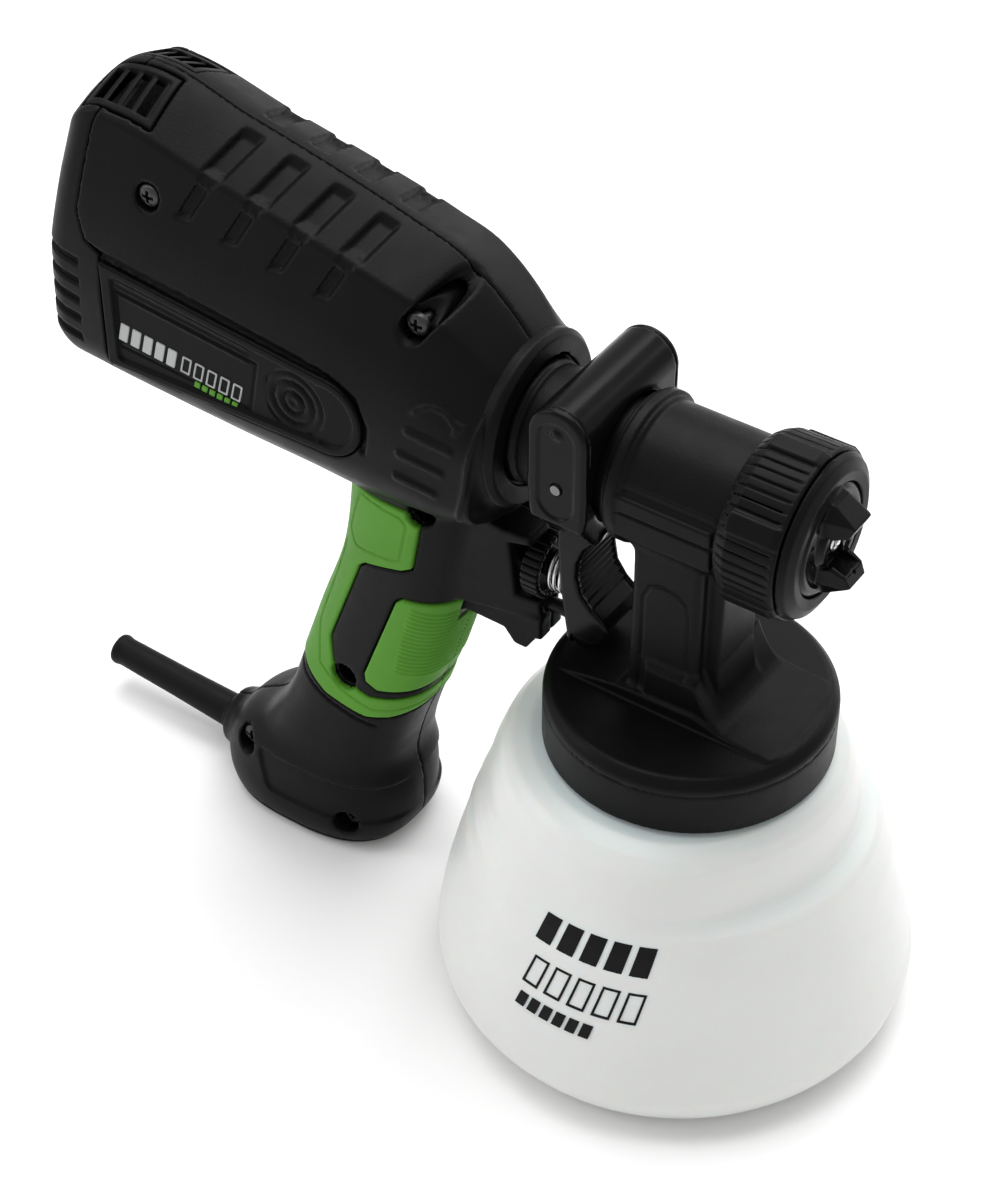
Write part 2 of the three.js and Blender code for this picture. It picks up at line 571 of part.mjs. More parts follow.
// ---------------------------------------------------------------- spray head
function headBody() {
  const shellTube = bar('x', TUBE_REAR, COLLAR_X + 4, TUBE_R, SPRAY, 36);
  const collar = turned([
    [0, COLLAR_X], [COLLAR_R - 1, COLLAR_X], [COLLAR_R, COLLAR_X + 1], [COLLAR_R, COLLAR_X + 4.5],
    [BARREL_R + 0.4, COLLAR_X + 6], [BARREL_R, BARREL_FRONT], [0, BARREL_FRONT],
  ], 'x', SPRAY, 36);
  const rib = box([-13, -BARREL_R - 1.2, AXIS_Z - 9], [NUT_X - 1.5, BARREL_R + 1.2, AXIS_Z - 4]);
  const neck = box([-13, -14, LID_DECK - 3], [9, 14, AXIS_Z - 6]);
  const lid = turned([
    [0, LID_Z], [LID_R, LID_Z], [LID_R, LID_TOP], [LID_R - 2.6, LID_DECK], [0, LID_DECK],
  ], 'z', [0, 0, 0], 40);
  // low band over the lid, thin at both ends, with a ramp up to the neck's front
  const band = sidePlate(polygon([
    [-34, LID_DECK - 1], [36, LID_DECK - 1], [34, LID_DECK + 0.4], [14, LID_DECK + 2.4], [9, LID_DECK + 9],
    [-13, LID_DECK + 9], [-16, LID_DECK + 2.2], [-32, LID_DECK + 0.6],
  ]), -16.5, 20);
  const lug = box([PIVOT_X - 3, -6, AXIS_Z + TUBE_R - 1], [PIVOT_X + 3, 6, PIVOT_Z + 1.9]);
  const outer = join(shellTube, collar, rib, neck, lid, band, lug);
  const airway = bar('x', TUBE_REAR - 1, 5, 14, SPRAY, 32);
  const frontAirway = bar('x', 4, BARREL_FRONT + 1, 16, SPRAY, 32);
  const core = join(
    bar('x', -20, 9, 6.5, SPRAY, 24),
    box([-12, -4.5, AXIS_Z - 17], [7, 4.5, AXIS_Z]),
    box([-2, -1.5, AXIS_Z], [7, 1.5, AXIS_Z + 17]),
  );
  const spider = join(
    ring('x', -52, -50, 5.2, 8, SPRAY, 20),
    box([-52, -1.5, AXIS_Z + 6], [-50, 1.5, AXIS_Z + 15]),
    box([-52, -1.5, AXIS_Z - 15], [-50, 1.5, AXIS_Z - 6]),
    bar('x', -52, -51, 6, SPRAY, 20),
  );
  const hollow = cut(outer, airway, frontAirway).add(core).add(spider);
  return cut(
    hollow,
    // needle passage, packing seat and nozzle seat
    bar('x', -21, 10, 2.4, SPRAY, 16),
    bar('x', -21, -15, 4.6, SPRAY, 20),
    bar('x', 4, 10, 5, SPRAY, 20),
    // paint riser, with room for the suction tube
    bar('z', LID_Z, AXIS_Z, 2.4, [-1, 0, 0], 16),
    bar('z', LID_Z, 150, 3.5, [-1, 0, 0], 16),
    // room for the cup's neck and its gasket
    bar('z', LID_Z - 1, LID_DECK - 5, 38.2, [0, 0, 0], 40),
    // slots for the trigger's cross pin, and the pivot hole in the lug
    ...[-1, 1].map((side) => slotInTube(side)),
    bar('y', -8, 8, 1.9, [PIVOT_X, 0, PIVOT_Z], 12),
  );
}

function slotInTube(side) {
  const [low, high] = side < 0 ? [-20, -10] : [10, 20];
  return sidePlate(stadium(PIVOT_X - 3, AXIS_Z, PIVOT_X + 1, AXIS_Z, 2.4), low, high, 5);
}

function fluidParts() {
  piece('fluid_nozzle', cut(
    turned([
      [0, 5.2], [4.6, 5.2], [4.6, 9.4], [9, 9.4], [9, 13], [7, 13],
      [6, 20], [3.4, 33], [2.6, 36], [2.6, 39], [0, 39],
    ], 'x', SPRAY, 24),
    bar('x', 5, 34, 2.3, SPRAY, 14),
    bar('x', 33, 40, 1.5, SPRAY, 14),
  ), 'brass');
  const eye = cut(
    join(bar('x', -37, -24, 3.4, SPRAY, 16), box([-36, -3.4, AXIS_Z - 3], [-26, 3.4, AXIS_Z + 3])),
    bar('y', -6, 6, 1.9, [PIVOT_X, 0, AXIS_Z], 14),
  );
  const rod = turned([[0, -25], [1.4, -25], [1.4, 30], [0.9, 36], [0.9, 39.6], [0, 40]], 'x', SPRAY, 14);
  piece('paint_needle', eye.add(rod), 'steel');
  piece('needle_spring', coilSpring(-49.2, -38, 4, 0.5, 4, SPRAY), 'steel');
  piece('needle_packing', ring('x', -20.4, -15.3, 1.7, 4.3, SPRAY, 20), 'rubber');
  piece('suction_tube', cut(
    bar('z', 14, 149.5, 3.2, [-1, 0, 0], 18),
    bar('z', 13, 150, 2.2, [-1, 0, 0], 14),
    box([-6, -5, 12], [-1, 5, 15.5]),
  ), 'cup');
  piece('tube_seal', ring('x', -69.8, -66.3, 12.5, 17, SPRAY, 28), 'rubber');
}

function nozzleNut() {
  const body = turned([
    [BARREL_R + 0.5, NUT_X], [21.6, NUT_X], [22.6, NUT_X + 1],
    [NUT_R - 0.8, NUT_X + 4], [NUT_R - 0.8, NUT_FRONT - 4], [21.5, NUT_FRONT - 1],
    [18.6, NUT_FRONT], [16.2, NUT_FRONT], [16.2, 33.6], [BARREL_R + 0.5, 33.6], [BARREL_R + 0.5, NUT_X],
  ], 'x', SPRAY, 48);
  const lugs = [];
  for (let i = 0; i < 6; i += 1) {
    const lug = new THREE.BoxGeometry(15, 5, 2.4);
    lug.translate((NUT_X + 4 + NUT_FRONT - 4) / 2, 0, NUT_R - 1);
    lug.rotateX((i / 6) * 2 * Math.PI);
    lug.translate(0, 0, AXIS_Z);
    lugs.push(toSolid(lug));
  }
  return join(body, ...lugs);
}

function airCap() {
  const disc = turned([
    [3.1, 26], [11, 26], [11, 30], [18.6, 30], [18.6, 33.2], [15.8, 33.2],
    [15.8, 37], [12.5, 38.6], [4.4, 38.6], [3.1, 37.6], [3.1, 26],
  ], 'x', SPRAY, 40);
  const horn = polygon([[36, 189.5], [41, 195], [46.5, 191.5], [48, 187.2], [43, 186], [39, 185], [36, 185]]);
  const horns = [0, Math.PI].map((angle) => {
    const geometry = new THREE.ExtrudeGeometry(horn, { depth: 9, bevelEnabled: false });
    geometry.rotateX(Math.PI / 2);
    geometry.translate(0, 4.5, -AXIS_Z);
    geometry.rotateX(angle);
    geometry.translate(0, 0, AXIS_Z);
    return toSolid(geometry);
  });
  return cut(join(disc, ...horns), turned([[0, 25], [10, 25], [4.6, 35.5], [0, 35.5]], 'x', SPRAY, 24),
    bar('x', 30, 50, 3.1, SPRAY, 20));
}

// ---------------------------------------------------------------- trigger
function triggerBody() {
  const plate = stadium(PIVOT_X, 179, PIVOT_X, 196.4, 9);
  const yoke = sidePlate(plate, -YOKE_HALF, YOKE_HALF, 8);
  const saddle = box([-50, -TUBE_R - 1.6, 150], [-10, TUBE_R + 1.6, 202.3]);
  const bridge = sidePlate(polygon([[-38, 161], [-38, 150], [-24, 150], [-22, 161]]), -YOKE_HALF, YOKE_HALF);
  const cheeks = [-1, 1].map((side) => {
    const [low, high] = side < 0 ? [-YOKE_HALF, -TUBE_R - 1.6] : [TUBE_R + 1.6, YOKE_HALF];
    return sidePlate(polygon([[-39.5, 176], [-22.5, 176], [-23, 160], [-38, 160]]), low, high);
  });
  const lever = new THREE.Shape();
  lever.moveTo(-37, 158);
  lever.lineTo(-37, 114);
  lever.lineTo(-29, 114);
  lever.lineTo(-22, 124);
  lever.lineTo(-24.6, 129);
  lever.quadraticCurveTo(-33, 134, -31.8, 141);
  lever.quadraticCurveTo(-31, 150, -24, 158);
  lever.closePath();
  const blade = sidePlate(lever, -11, 11, 6);
  return cut(
    join(cut(yoke, saddle), bridge, ...cheeks, blade),
    bar('y', -YOKE_HALF - 1, YOKE_HALF + 1, 1.9, [PIVOT_X, 0, PIVOT_Z], 14),
    bar('y', -YOKE_HALF - 1, YOKE_HALF + 1, 1.9, [PIVOT_X, 0, AXIS_Z], 14),
  );
}

function triggerParts() {
  piece('trigger', triggerBody(), 'gloss');
  piece('trigger_axle', bar('y', -YOKE_HALF, YOKE_HALF, 1.5, [PIVOT_X, 0, PIVOT_Z], 14), 'steel');
  piece('needle_cross_pin', bar('y', -YOKE_HALF, YOKE_HALF, 1.5, [PIVOT_X, 0, AXIS_Z], 14), 'steel');
  const knob = [
    bar('x', KNOB_X, KNOB_X + KNOB_LONG, KNOB_R - 0.9, [0, 0, KNOB_Z], 28),
    bar('x', KNOB_X - 10, KNOB_X + 1, 3, [0, 0, KNOB_Z], 16),
  ];
  for (let i = 0; i < 16; i += 1) {
    const tooth = new THREE.BoxGeometry(KNOB_LONG, 2.2, 2);
    tooth.translate(KNOB_X + KNOB_LONG / 2, 0, KNOB_R - 1);
    tooth.rotateX((i / 16) * 2 * Math.PI);
    tooth.translate(0, 0, KNOB_Z);
    knob.push(toSolid(tooth));
  }
  piece('flow_knob', join(...knob), 'gloss');
  piece('trigger_spring', coilSpring(-43.7, -38, 7.2, 0.55, 3, [0, 0, KNOB_Z]), 'steel');
}

// ---------------------------------------------------------------- paint cup
// Height, radius towards the front left and radius towards the rear right: the cup is fuller at the rear.
const CUP_RINGS = [
  [0, 64, 64], [2.2, 68.5, 68.5], [8, 70, CUP_R], [32, 64.4, 67.3], [56, 59.6, 61.8], [63, 57.4, 59.8],
  [67.5, 56.4, 58.3], [70.5, 52, 57.4], [73, 49.4, 56.6], [82, 48.4, 54], [88.5, 46.4, 51.2], [92, 41, 43],
];
const CUP_TURN = THREE.MathUtils.degToRad(34); // direction of the shoulder's step, from +X towards +Y
const CUP_SIDES = 40;
const NECK_R = 37.2;
const NECK_TOP = LID_DECK - 8.5;

function cupRing([z, front, rear], inset) {
  return Array.from({ length: CUP_SIDES }, (_, i) => {
    const angle = (i / CUP_SIDES) * 2 * Math.PI;
    const share = THREE.MathUtils.smoothstep(-Math.cos(angle - CUP_TURN), -0.5, 0.5);
    const radius = front + (rear - front) * share - inset;
    return new THREE.Vector3(radius * Math.cos(angle), radius * Math.sin(angle), z);
  });
}

function paintCup() {
  const neck = [[93, NECK_R, NECK_R], [NECK_TOP, NECK_R, NECK_R]];
  const outside = loft([...CUP_RINGS, ...neck].map((level) => cupRing(level, 0)));
  const hollow = [...CUP_RINGS.slice(1), ...neck]
    .map(([z, front, rear]) => [z - (z > 92 ? 0 : 0.2), front, rear]);
  hollow[hollow.length - 1][0] += 1;
  const inside = loft(hollow.map((level) => cupRing(level, CUP_WALL)));
  return cut(outside, inside);
}

// ---------------------------------------------------------------- assembly
const shells = clamshell();
piece('housing_right', shells.intersect(RIGHT_HALF), 'shell');
piece('housing_left', shells.intersect(LEFT_HALF), 'shell');
for (const item of SCREWS) piece(item.name, screw(item), 'steel');
piece('side_panel_right', sidePanel(-1), 'shell');
piece('side_panel_left', sidePanel(1), 'shell');
piece('vent_grille_right', ventGrille(-1), 'gloss');
piece('vent_grille_left', ventGrille(1), 'gloss');
piece('rear_cover', rearCover(), 'shell');
piece('air_filter', airFilter(), 'foam');
motorUnitInternals();
greenGrips();
handleInternals();

piece('head_body', headBody(), 'shell');
fluidParts();
piece('air_cap', airCap(), 'gloss');
piece('nozzle_nut', nozzleNut(), 'shell');
triggerParts();

piece('paint_cup', paintCup(), 'cup');
piece('cup_gasket', ring('z', LID_DECK - 8.2, LID_DECK - 5.3, 33, 37.8, [0, 0, 0], 40), 'rubber');

export default gun;
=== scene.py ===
"""Electric paint spray gun with a turbine blower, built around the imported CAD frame.

Moulded pieces are distance fields in millimetres, cut and joined with rounded edges, and turned into
closed quad meshes. Turned and wound pieces are swept profiles.
"""
import math
from functools import reduce

import bpy
import numpy as np
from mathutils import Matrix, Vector


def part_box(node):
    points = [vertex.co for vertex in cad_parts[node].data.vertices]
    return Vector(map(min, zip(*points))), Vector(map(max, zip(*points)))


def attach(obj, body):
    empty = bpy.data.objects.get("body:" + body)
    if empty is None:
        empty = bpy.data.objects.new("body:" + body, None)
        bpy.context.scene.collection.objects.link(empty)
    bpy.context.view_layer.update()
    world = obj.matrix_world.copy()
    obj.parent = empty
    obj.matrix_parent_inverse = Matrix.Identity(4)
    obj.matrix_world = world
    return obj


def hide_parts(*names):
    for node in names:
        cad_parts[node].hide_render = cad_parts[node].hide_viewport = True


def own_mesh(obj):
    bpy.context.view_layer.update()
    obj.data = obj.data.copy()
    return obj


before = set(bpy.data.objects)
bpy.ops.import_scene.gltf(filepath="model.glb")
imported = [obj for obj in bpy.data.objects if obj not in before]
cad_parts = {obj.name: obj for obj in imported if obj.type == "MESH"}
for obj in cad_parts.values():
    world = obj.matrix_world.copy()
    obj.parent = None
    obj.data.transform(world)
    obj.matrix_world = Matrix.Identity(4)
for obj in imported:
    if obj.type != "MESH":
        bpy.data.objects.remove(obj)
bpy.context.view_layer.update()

MM = 0.001

# ---------------------------------------------------------------- driving sizes, in millimetres
AXIS_Z = 180.0  # spray axis
PART_GAP = 0.15  # half the joint between the two shells
KNOB_X, KNOB_Z = -50.4, 132  # back of the flow knob, and its axis
PLUNGER_Z = 117
PIVOT_X, PIVOT_Z = -31, 199  # trigger axle
SKIN = 0.9  # how far the handle's skin stands out from its lofted section
SOFT_DEPTH = 1.75  # depth of the soft grips in the skin
POCKET_DEPTH, POCKET_MARGIN = 1.9, 0.55


def corners(node):
    """Lowest and highest corner of a CAD node, in millimetres."""
    low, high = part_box(node)
    return np.array(low) / MM, np.array(high) / MM


# ---------------------------------------------------------------- distance fields
def smin(a, b, r):
    """Union with a fillet of about r."""
    h = np.clip(0.5 + 0.5 * (b - a) / r, 0, 1)
    return b + (a - b) * h - r * h * (1 - h)


def smax(a, b, r):
    """Intersection with a rounded edge of about r."""
    return -smin(-a, -b, r)


def carve(body, tool, r=0.6):
    """Cuts the tool out of the body and rounds the edge."""
    return smax(body, -tool, r)


def scored(body, line, half, depth):
    """A groove of limited depth along a line, given the distance to the line."""
    return carve(body, np.maximum(line - half, -body - depth), 0.35)


def ramp(u, low, high):
    """0 below low, 1 above high, smooth between."""
    t = np.clip((u - low) / (high - low), 0, 1)
    return t * t * (3 - 2 * t)


def fade(u, low, high):
    """1 below low, 0 above high, smooth between."""
    return 1 - ramp(u, low, high)


def curve(u, stations, values):
    """A smooth line through the values at the stations."""
    fine = np.linspace(stations[0], stations[-1], 400)
    x, v = np.array(stations, float), np.array(values, float)
    slope = np.gradient(v, x)
    i = np.clip(np.searchsorted(x, fine, side="right") - 1, 0, len(x) - 2)
    h = x[i + 1] - x[i]
    t = (fine - x[i]) / h
    line = ((1 + 2 * t) * (1 - t) ** 2 * v[i] + t * (1 - t) ** 2 * h * slope[i]
            + t * t * (3 - 2 * t) * v[i + 1] + t * t * (t - 1) * h * slope[i + 1])
    return np.interp(u, fine, line).astype(np.float32)


def slab(u, low, high):
    return np.maximum(low - u, u - high)


def block(x, y, z, low, high, r=0.0):
    """A box with rounded edges."""
    q = [np.abs(u - (a + b) / 2) - (b - a) / 2 + r for u, a, b in zip((x, y, z), low, high)]
    outside = np.sqrt(sum(np.maximum(c, 0) ** 2 for c in q))
    return outside + np.minimum(np.maximum(np.maximum(q[0], q[1]), q[2]), 0) - r


def segment(u, v, a, b):
    """Distance to a line piece in a plane."""
    a, b = np.array(a, float), np.array(b, float)
    d = b - a
    t = np.clip(((u - a[0]) * d[0] + (v - a[1]) * d[1]) / (d @ d), 0, 1)
    return np.hypot(u - a[0] - t * d[0], v - a[1] - t * d[1])


def path(u, v, points):
    """Distance to a chain of line pieces in a plane."""
    return np.minimum.reduce([segment(u, v, a, b) for a, b in zip(points, points[1:])])


def outline(u, v, points):
    """Signed distance to a closed outline in a plane, negative inside."""
    closed = list(points) + [points[0]]
    inside = np.zeros(u.shape, bool)
    for (ax, ay), (bx, by) in zip(closed, closed[1:]):
        crosses = (ay > v) != (by > v)
        if ay != by:
            inside ^= crosses & (u < (bx - ax) * (v - ay) / (by - ay) + ax)
    return np.where(inside, -1, 1) * path(u, v, closed)


def rod(away, radius, along, low, high):
    """A straight round bar with flat ends, from the distances away from its axis and along it."""
    return np.maximum(away - radius, slab(along, low, high))


def meet(*fields):
    """What several fields have in common, with sharp edges."""
    return reduce(np.maximum, fields)


def join(*fields):
    """Several fields together, with sharp edges."""
    return reduce(np.minimum, fields)


def polar(y, z, level):
    """Distance from an axis along X at a height, and the angle round it."""
    return np.hypot(y, z - level), np.arctan2(y, z - level)


# ---------------------------------------------------------------- meshes
BLOCK = 8


def sampled(field, low, high, step):
    """The field on a grid; blocks of it that lie far from the surface keep one rough value each."""
    low = np.array(low, float) - 1.5 * step
    counts = np.ceil((np.array(high, float) + 1.5 * step - low) / step / BLOCK).astype(int)
    middles = [low[a] + ((np.arange(counts[a]) + 0.5) * BLOCK - 0.5) * step for a in range(3)]
    centre = [c.astype(np.float32) for c in np.meshgrid(*middles, indexing="ij")]
    rough = field(*centre)
    near = np.abs(rough) < BLOCK * step * 1.25
    values = np.repeat(np.repeat(np.repeat(rough, BLOCK, 0), BLOCK, 1), BLOCK, 2).astype(np.float32)
    blocks = values.reshape(counts[0], BLOCK, counts[1], BLOCK, counts[2], BLOCK).transpose(0, 2, 4, 1, 3, 5)
    chosen = np.argwhere(near)
    offsets = (np.arange(BLOCK) * step).astype(np.float32)
    for start in range(0, len(chosen), 1500):
        part = chosen[start:start + 1500]
        first = (low + part * BLOCK * step).astype(np.float32)
        x = (first[:, 0, None, None, None] + offsets[None, :, None, None])
        y = (first[:, 1, None, None, None] + offsets[None, None, :, None])
        z = (first[:, 2, None, None, None] + offsets[None, None, None, :])
        x, y, z = (np.ascontiguousarray(u) for u in np.broadcast_arrays(x, y, z))
        blocks[part[:, 0], part[:, 1], part[:, 2]] = field(x, y, z)
    return values, low


def net(values, low, step):
    """Vertices and quads of the zero level: one vertex in each cell that the surface crosses."""
    inside = values < 0
    shape = np.array(values.shape)
    cells, points, quads, flips = [], [], [], []
    units = np.eye(3, dtype=int)
    for axis in range(3):
        b, c = (axis + 1) % 3, (axis + 2) % 3
        here = [slice(1, -1)] * 3
        here[axis] = slice(0, -1)
        there = list(here)
        there[axis] = slice(1, None)
        change = np.argwhere(inside[tuple(here)] != inside[tuple(there)])
        change[:, b] += 1
        change[:, c] += 1
        v0 = values[tuple(change.T)]
        v1 = values[tuple((change + units[axis]).T)]
        cross = change + (v0 / (v0 - v1))[:, None] * units[axis]
        around = [change, change - units[b], change - units[b] - units[c], change - units[c]]
        ids = [np.ravel_multi_index(tuple(a.T), shape) for a in around]
        for i in ids:
            cells.append(i)
            points.append(cross)
        quads.append(np.stack(ids, 1))
        flips.append(v0 < 0)
    cells, points = np.concatenate(cells), np.concatenate(points)
    names, index = np.unique(cells, return_inverse=True)
    share = np.bincount(index)
    vertices = np.stack([np.bincount(index, points[:, a]) / share for a in range(3)], 1)
    faces = np.searchsorted(names, np.concatenate(quads))
    flip = np.concatenate(flips)
    faces[~flip] = faces[~flip][:, ::-1]
    return vertices * step + low, faces


def settled(vertices, field, step, passes=2):
    """Moves the vertices onto the field's zero level, by at most one step."""
    start = vertices.astype(np.float32)
    p = start.copy()
    e = 0.12 * step
    for _ in range(passes):
        x, y, z = p.T
        here = field(x, y, z)
        slope = np.stack([
            field(x + e, y, z) - field(x - e, y, z),
            field(x, y + e, z) - field(x, y - e, z),
            field(x, y, z + e) - field(x, y, z - e),
        ], 1) / (2 * e)
        size = np.maximum((slope ** 2).sum(1), 0.2)
        p = p - slope * (here / size)[:, None]
        away = p - start
        far = np.maximum(np.linalg.norm(away, axis=1) / (0.7 * step), 1)
        p = start + away / far[:, None]
    return p


def linked(name, data):
    """A Blender object for a mesh, a camera or a light, in the scene."""
    obj = bpy.data.objects.new(name, data)
    bpy.context.scene.collection.objects.link(obj)
    return obj


def mesh_object(name, vertices, faces, smooth=True):
    """A Blender object from vertices in millimetres and faces."""
    mesh = bpy.data.meshes.new(name)
    mesh.from_pydata((np.asarray(vertices, float) * MM).tolist(), [], faces)
    mesh.update()
    if smooth:
        mesh.shade_smooth()
    return linked(name, mesh)


def quad_mesh(name, vertices, quads):
    """A Blender object from a large array of quads."""
    mesh = bpy.data.meshes.new(name)
    mesh.vertices.add(len(vertices))
    mesh.vertices.foreach_set("co", (vertices * MM).astype(np.float32).ravel())
    mesh.loops.add(quads.size)
    mesh.loops.foreach_set("vertex_index", quads.astype(np.int32).ravel())
    mesh.polygons.add(len(quads))
    mesh.polygons.foreach_set("loop_start", np.arange(0, quads.size, 4, dtype=np.int32))
    mesh.update(calc_edges=True)
    mesh.validate()
    mesh.shade_smooth()
    return linked(name, mesh)


def moulded(name, field, low, high, step):
    """A closed mesh of the field's zero level inside a box."""
    step = step * 1.0
    values, origin = sampled(field, low, high, step)
    vertices, quads = net(values, origin, step)
    return quad_mesh(name, settled(vertices, field, step), quads)


def placed(obj, body, slot, material, *nodes):
    """Gives a piece its material, its body and the CAD nodes it stands for."""
    obj.data.materials.clear()
    obj.data.materials.append(material)
    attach(obj, body)
    if nodes:
        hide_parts(*nodes)
    return obj


# ---------------------------------------------------------------- motor housing
STATIONS = (-206, -198, -190, -184, -177, -144, -115, -90, -76, -66, -56, -50)
CREST = (226, 234.5, 241.8, 245.6, 247.4, 241, 234.6, 228, 223.5, 217, 207.5, 200)
CREASE = (219, 228, 235, 237.6, 237, 230, 224.5, 219, 215, 209, 200, 193)
ROOF_HALF = (19, 19.8, 20.5, 20.5, 20.5, 20.5, 20.5, 20.3, 19.8, 18.6, 17, 16)
SIDE_HALF = (29.5, 29.8, 30, 30.2, 30.2, 30.2, 30.2, 30.1, 29.6, 29, 28.2, 27.6)
WAIST = (200, 201, 202, 202, 201, 196, 192.5, 190, 188, 187, 186, 185)
LOW = (166, 165, 164, 163.8, 163.5, 162.5, 162, 161, 160, 159, 160, 162)
UNDER = (150, 149.5, 149, 148.5, 147, 144, 143, 142, 143.5, 146, 150, 153)
LIP = (
    (-176.5, 262), (-177, 248), (-182, 236), (-183.5, 225), (-185, 211), (-182, 203), (-177, 200),
    (-177.3, 130),
)
SHELL = 2.5


def hull(x, y, z):
    """The housing's outside without its front and rear faces: roof, sides and belly."""
    a = np.abs(y)
    crest, crease, roof, side, waist, low, under = (
        curve(x, STATIONS, v) for v in (CREST, CREASE, ROOF_HALF, SIDE_HALF, WAIST, LOW, UNDER))
    soft = np.sqrt(y * y + 36) - 6
    drop = crest - crease
    top = (soft * drop + (z - crest) * (roof - 2)) / np.hypot(drop, roof - 2)
    run, rise = side - roof, crease - waist
    shoulder = ((a - roof) * rise + (z - crease) * run) / np.hypot(rise, run)
    belly_run, belly_rise = side * 0.55, low - under
    belly = ((a - side) * belly_rise - (z - low) * belly_run) / np.hypot(belly_rise, belly_run)
    d = smax(top, shoulder, 0.9)
    d = smax(d, a - side, 5)
    d = smax(d, belly, 5)
    return smax(d, under - z, 6)


def front_face(x, y, z):
    """The rounded front of the housing, hollowed round the socket ring."""
    rho = np.hypot(y, z - AXIS_Z)
    trough = np.hypot(x + 48.8, rho - 30.5) - 6.2
    return smax(x + 51.5, -trough, 1.0)


def rear_face(x, y, z):
    """The rear of the cover: upright, leaning forward at the top, crowned across."""
    levels = (150, 160, 168, 198, 219, 238, 245, 252)
    back = np.interp(z, levels, (-197, -202, -204, -202.5, -198.5, -194, -190.5, -187))
    return (back + (y / 30) ** 2 * 6.5 - x) * 0.93


def past_lip(x, z):
    """Distance forward of the shell's rear lip."""
    edge, level = zip(*LIP[::-1])
    return x - np.interp(z, level, edge)


SLOTS = 4
SLOT_TOP, SLOT_END = (-138.8, 240.3), (-149.6, 219.6)
SLOT_STEP_TOP, SLOT_STEP_END = (14.8, -3.2), (15.2, -2.5)


def slot_depth(x, y, z, crease):
    """How deep the cooling slots go into the skin at a place on the roof and shoulder."""
    depth = np.zeros_like(x)
    for i in range(SLOTS):
        top = (SLOT_TOP[0] + i * SLOT_STEP_TOP[0], SLOT_TOP[1] + i * SLOT_STEP_TOP[1])
        end = (SLOT_END[0] + i * SLOT_STEP_END[0], SLOT_END[1] + i * SLOT_STEP_END[1])
        lean = (top[0] - end[0]) / (top[1] - end[1])
        across = x - end[0] - (z - end[1]) * lean
        rise = z - crease
        upper = ramp(rise, 2.2, 2.6) * ramp(np.abs(y), 3.0, 5.6)
        walls = np.clip((4.1 - np.abs(across)) / 1.5, 0, 1)
        pad = ramp(rise, 0.2, 0.7) * fade(rise, 2.2, 2.6) * (np.abs(across) < 2.9) * 0.55
        lower = ramp(z, end[1] - 1.0, end[1] + 0.6) * fade(rise, -1.5, -1.1)
        blade = ramp(across, -2.9, -2.4) * fade(across, 0.6, 2.6)
        ridges = ((rise > -1.0) & (rise < -0.6) | (rise > -0.2) & (rise < 0.2)) * (np.abs(across) < 2.6) * 0.4
        depth = meet(depth, upper * walls * 1.7, pad, lower * blade * 1.35, ridges)
    return depth


PANEL_FACE, PANEL_BACK = 30.35, 28.7  # distances from the middle plane
PANEL_ROUND = (-100.5, 178.4, 12.4)
PANEL_EDGES = ((-176.6, 164.5), (-100.5, 166.0), (-100.5, 190.8), (-176.6, 198.6))


def panel_area(x, z):
    """Outline of the side panel: straight at the rear, round at the front."""
    cx, cz, r = PANEL_ROUND
    return smin(outline(x, z, PANEL_EDGES), np.hypot(x - cx, z - cz) - r, 0.5)


GRILLE = ((-187.5, -2.6), (-187.5, -17.2), (-164.5, -17.2), (-164.5, -2.6))


def grille_opening(x, y, z):
    """The window in the roof that each vent grille fills."""
    return meet(outline(x, -np.abs(y), GRILLE) - 0.8, 222 - z)


ARC = ((-75, 224), (-66, 217.5), (-57.5, 211.5), (-53.8, 203), (-53.5, 193), (-56, 172), (-58.5, 160))
BARS = (183.4, 175.2, 167.2)


def arrow(x, z):
    """A curved arrow that shows which way the head twists off."""
    turn = np.hypot(x + 66.5, z - 186.5)
    arc = meet(np.abs(turn - 7.0) - 0.55, 190.2 - z)
    head = outline(x, z, ((-60.6, 191.6), (-56.8, 190.6), (-60.2, 187.6)))
    return join(arc, head)


SCREWS = (
    ("housing_screw_rear", -162, 221.5, -27),
    ("housing_screw_front", -76.8, 211.5, -23),
    ("grip_screw_top", -78, 146, -16),
    ("grip_screw_low", -107, 71, -15.5),
    ("foot_screw_rear", -146, 24, -20.5),
    ("foot_screw_front", -107, 11, -21),
)
HEAD_R = 3.4
SCREW_SEAT, SCREW_END = 5.7, 10.5  # seat below the recess's rim; where the shank ends, across the gun
SHANK = 9.0


def upper_outside(x, y, z):
    """Outside of the upper unit, its front rounded over, with its grooves, slots and raised marks."""
    d = smax(hull(x, y, z), front_face(x, y, z), 1.6)
    a = np.abs(y)
    crease = curve(x, STATIONS, CREASE)
    roof = (x < -84) & (x > -156) & (z > 205)
    if roof.any():
        d[roof] += slot_depth(x[roof], y[roof], z[roof], crease[roof])
    on_side = a > 22
    ledge = path(x, z, ((-186, 203.5), (-177, 200.6), (-100, 191.2), (-91, 187.5), (-87.2, 180), (-88, 172)))
    d = scored(d, np.where(on_side, ledge, 9), 0.95, 1.1)
    rib = path(x, z, ARC)
    d = np.where((a > 17) & (x > -80), d - 0.7 * fade(rib, 0.2, 1.1), d)
    marks = arrow(x, z)
    for bar in BARS:
        across, up = x + (BARS[0] - bar) * 0.28, z + (x + 67) * 0.12
        marks = join(marks, block(across, 0 * x, up, (-74.5, -1, bar - 1.1), (-60, 1, bar + 1.1), 0.9))
    return np.where((a > 22) & (x > -78) & (z > 160) & (z < 200), d - 0.85 * fade(marks, -0.4, 0.5), d)


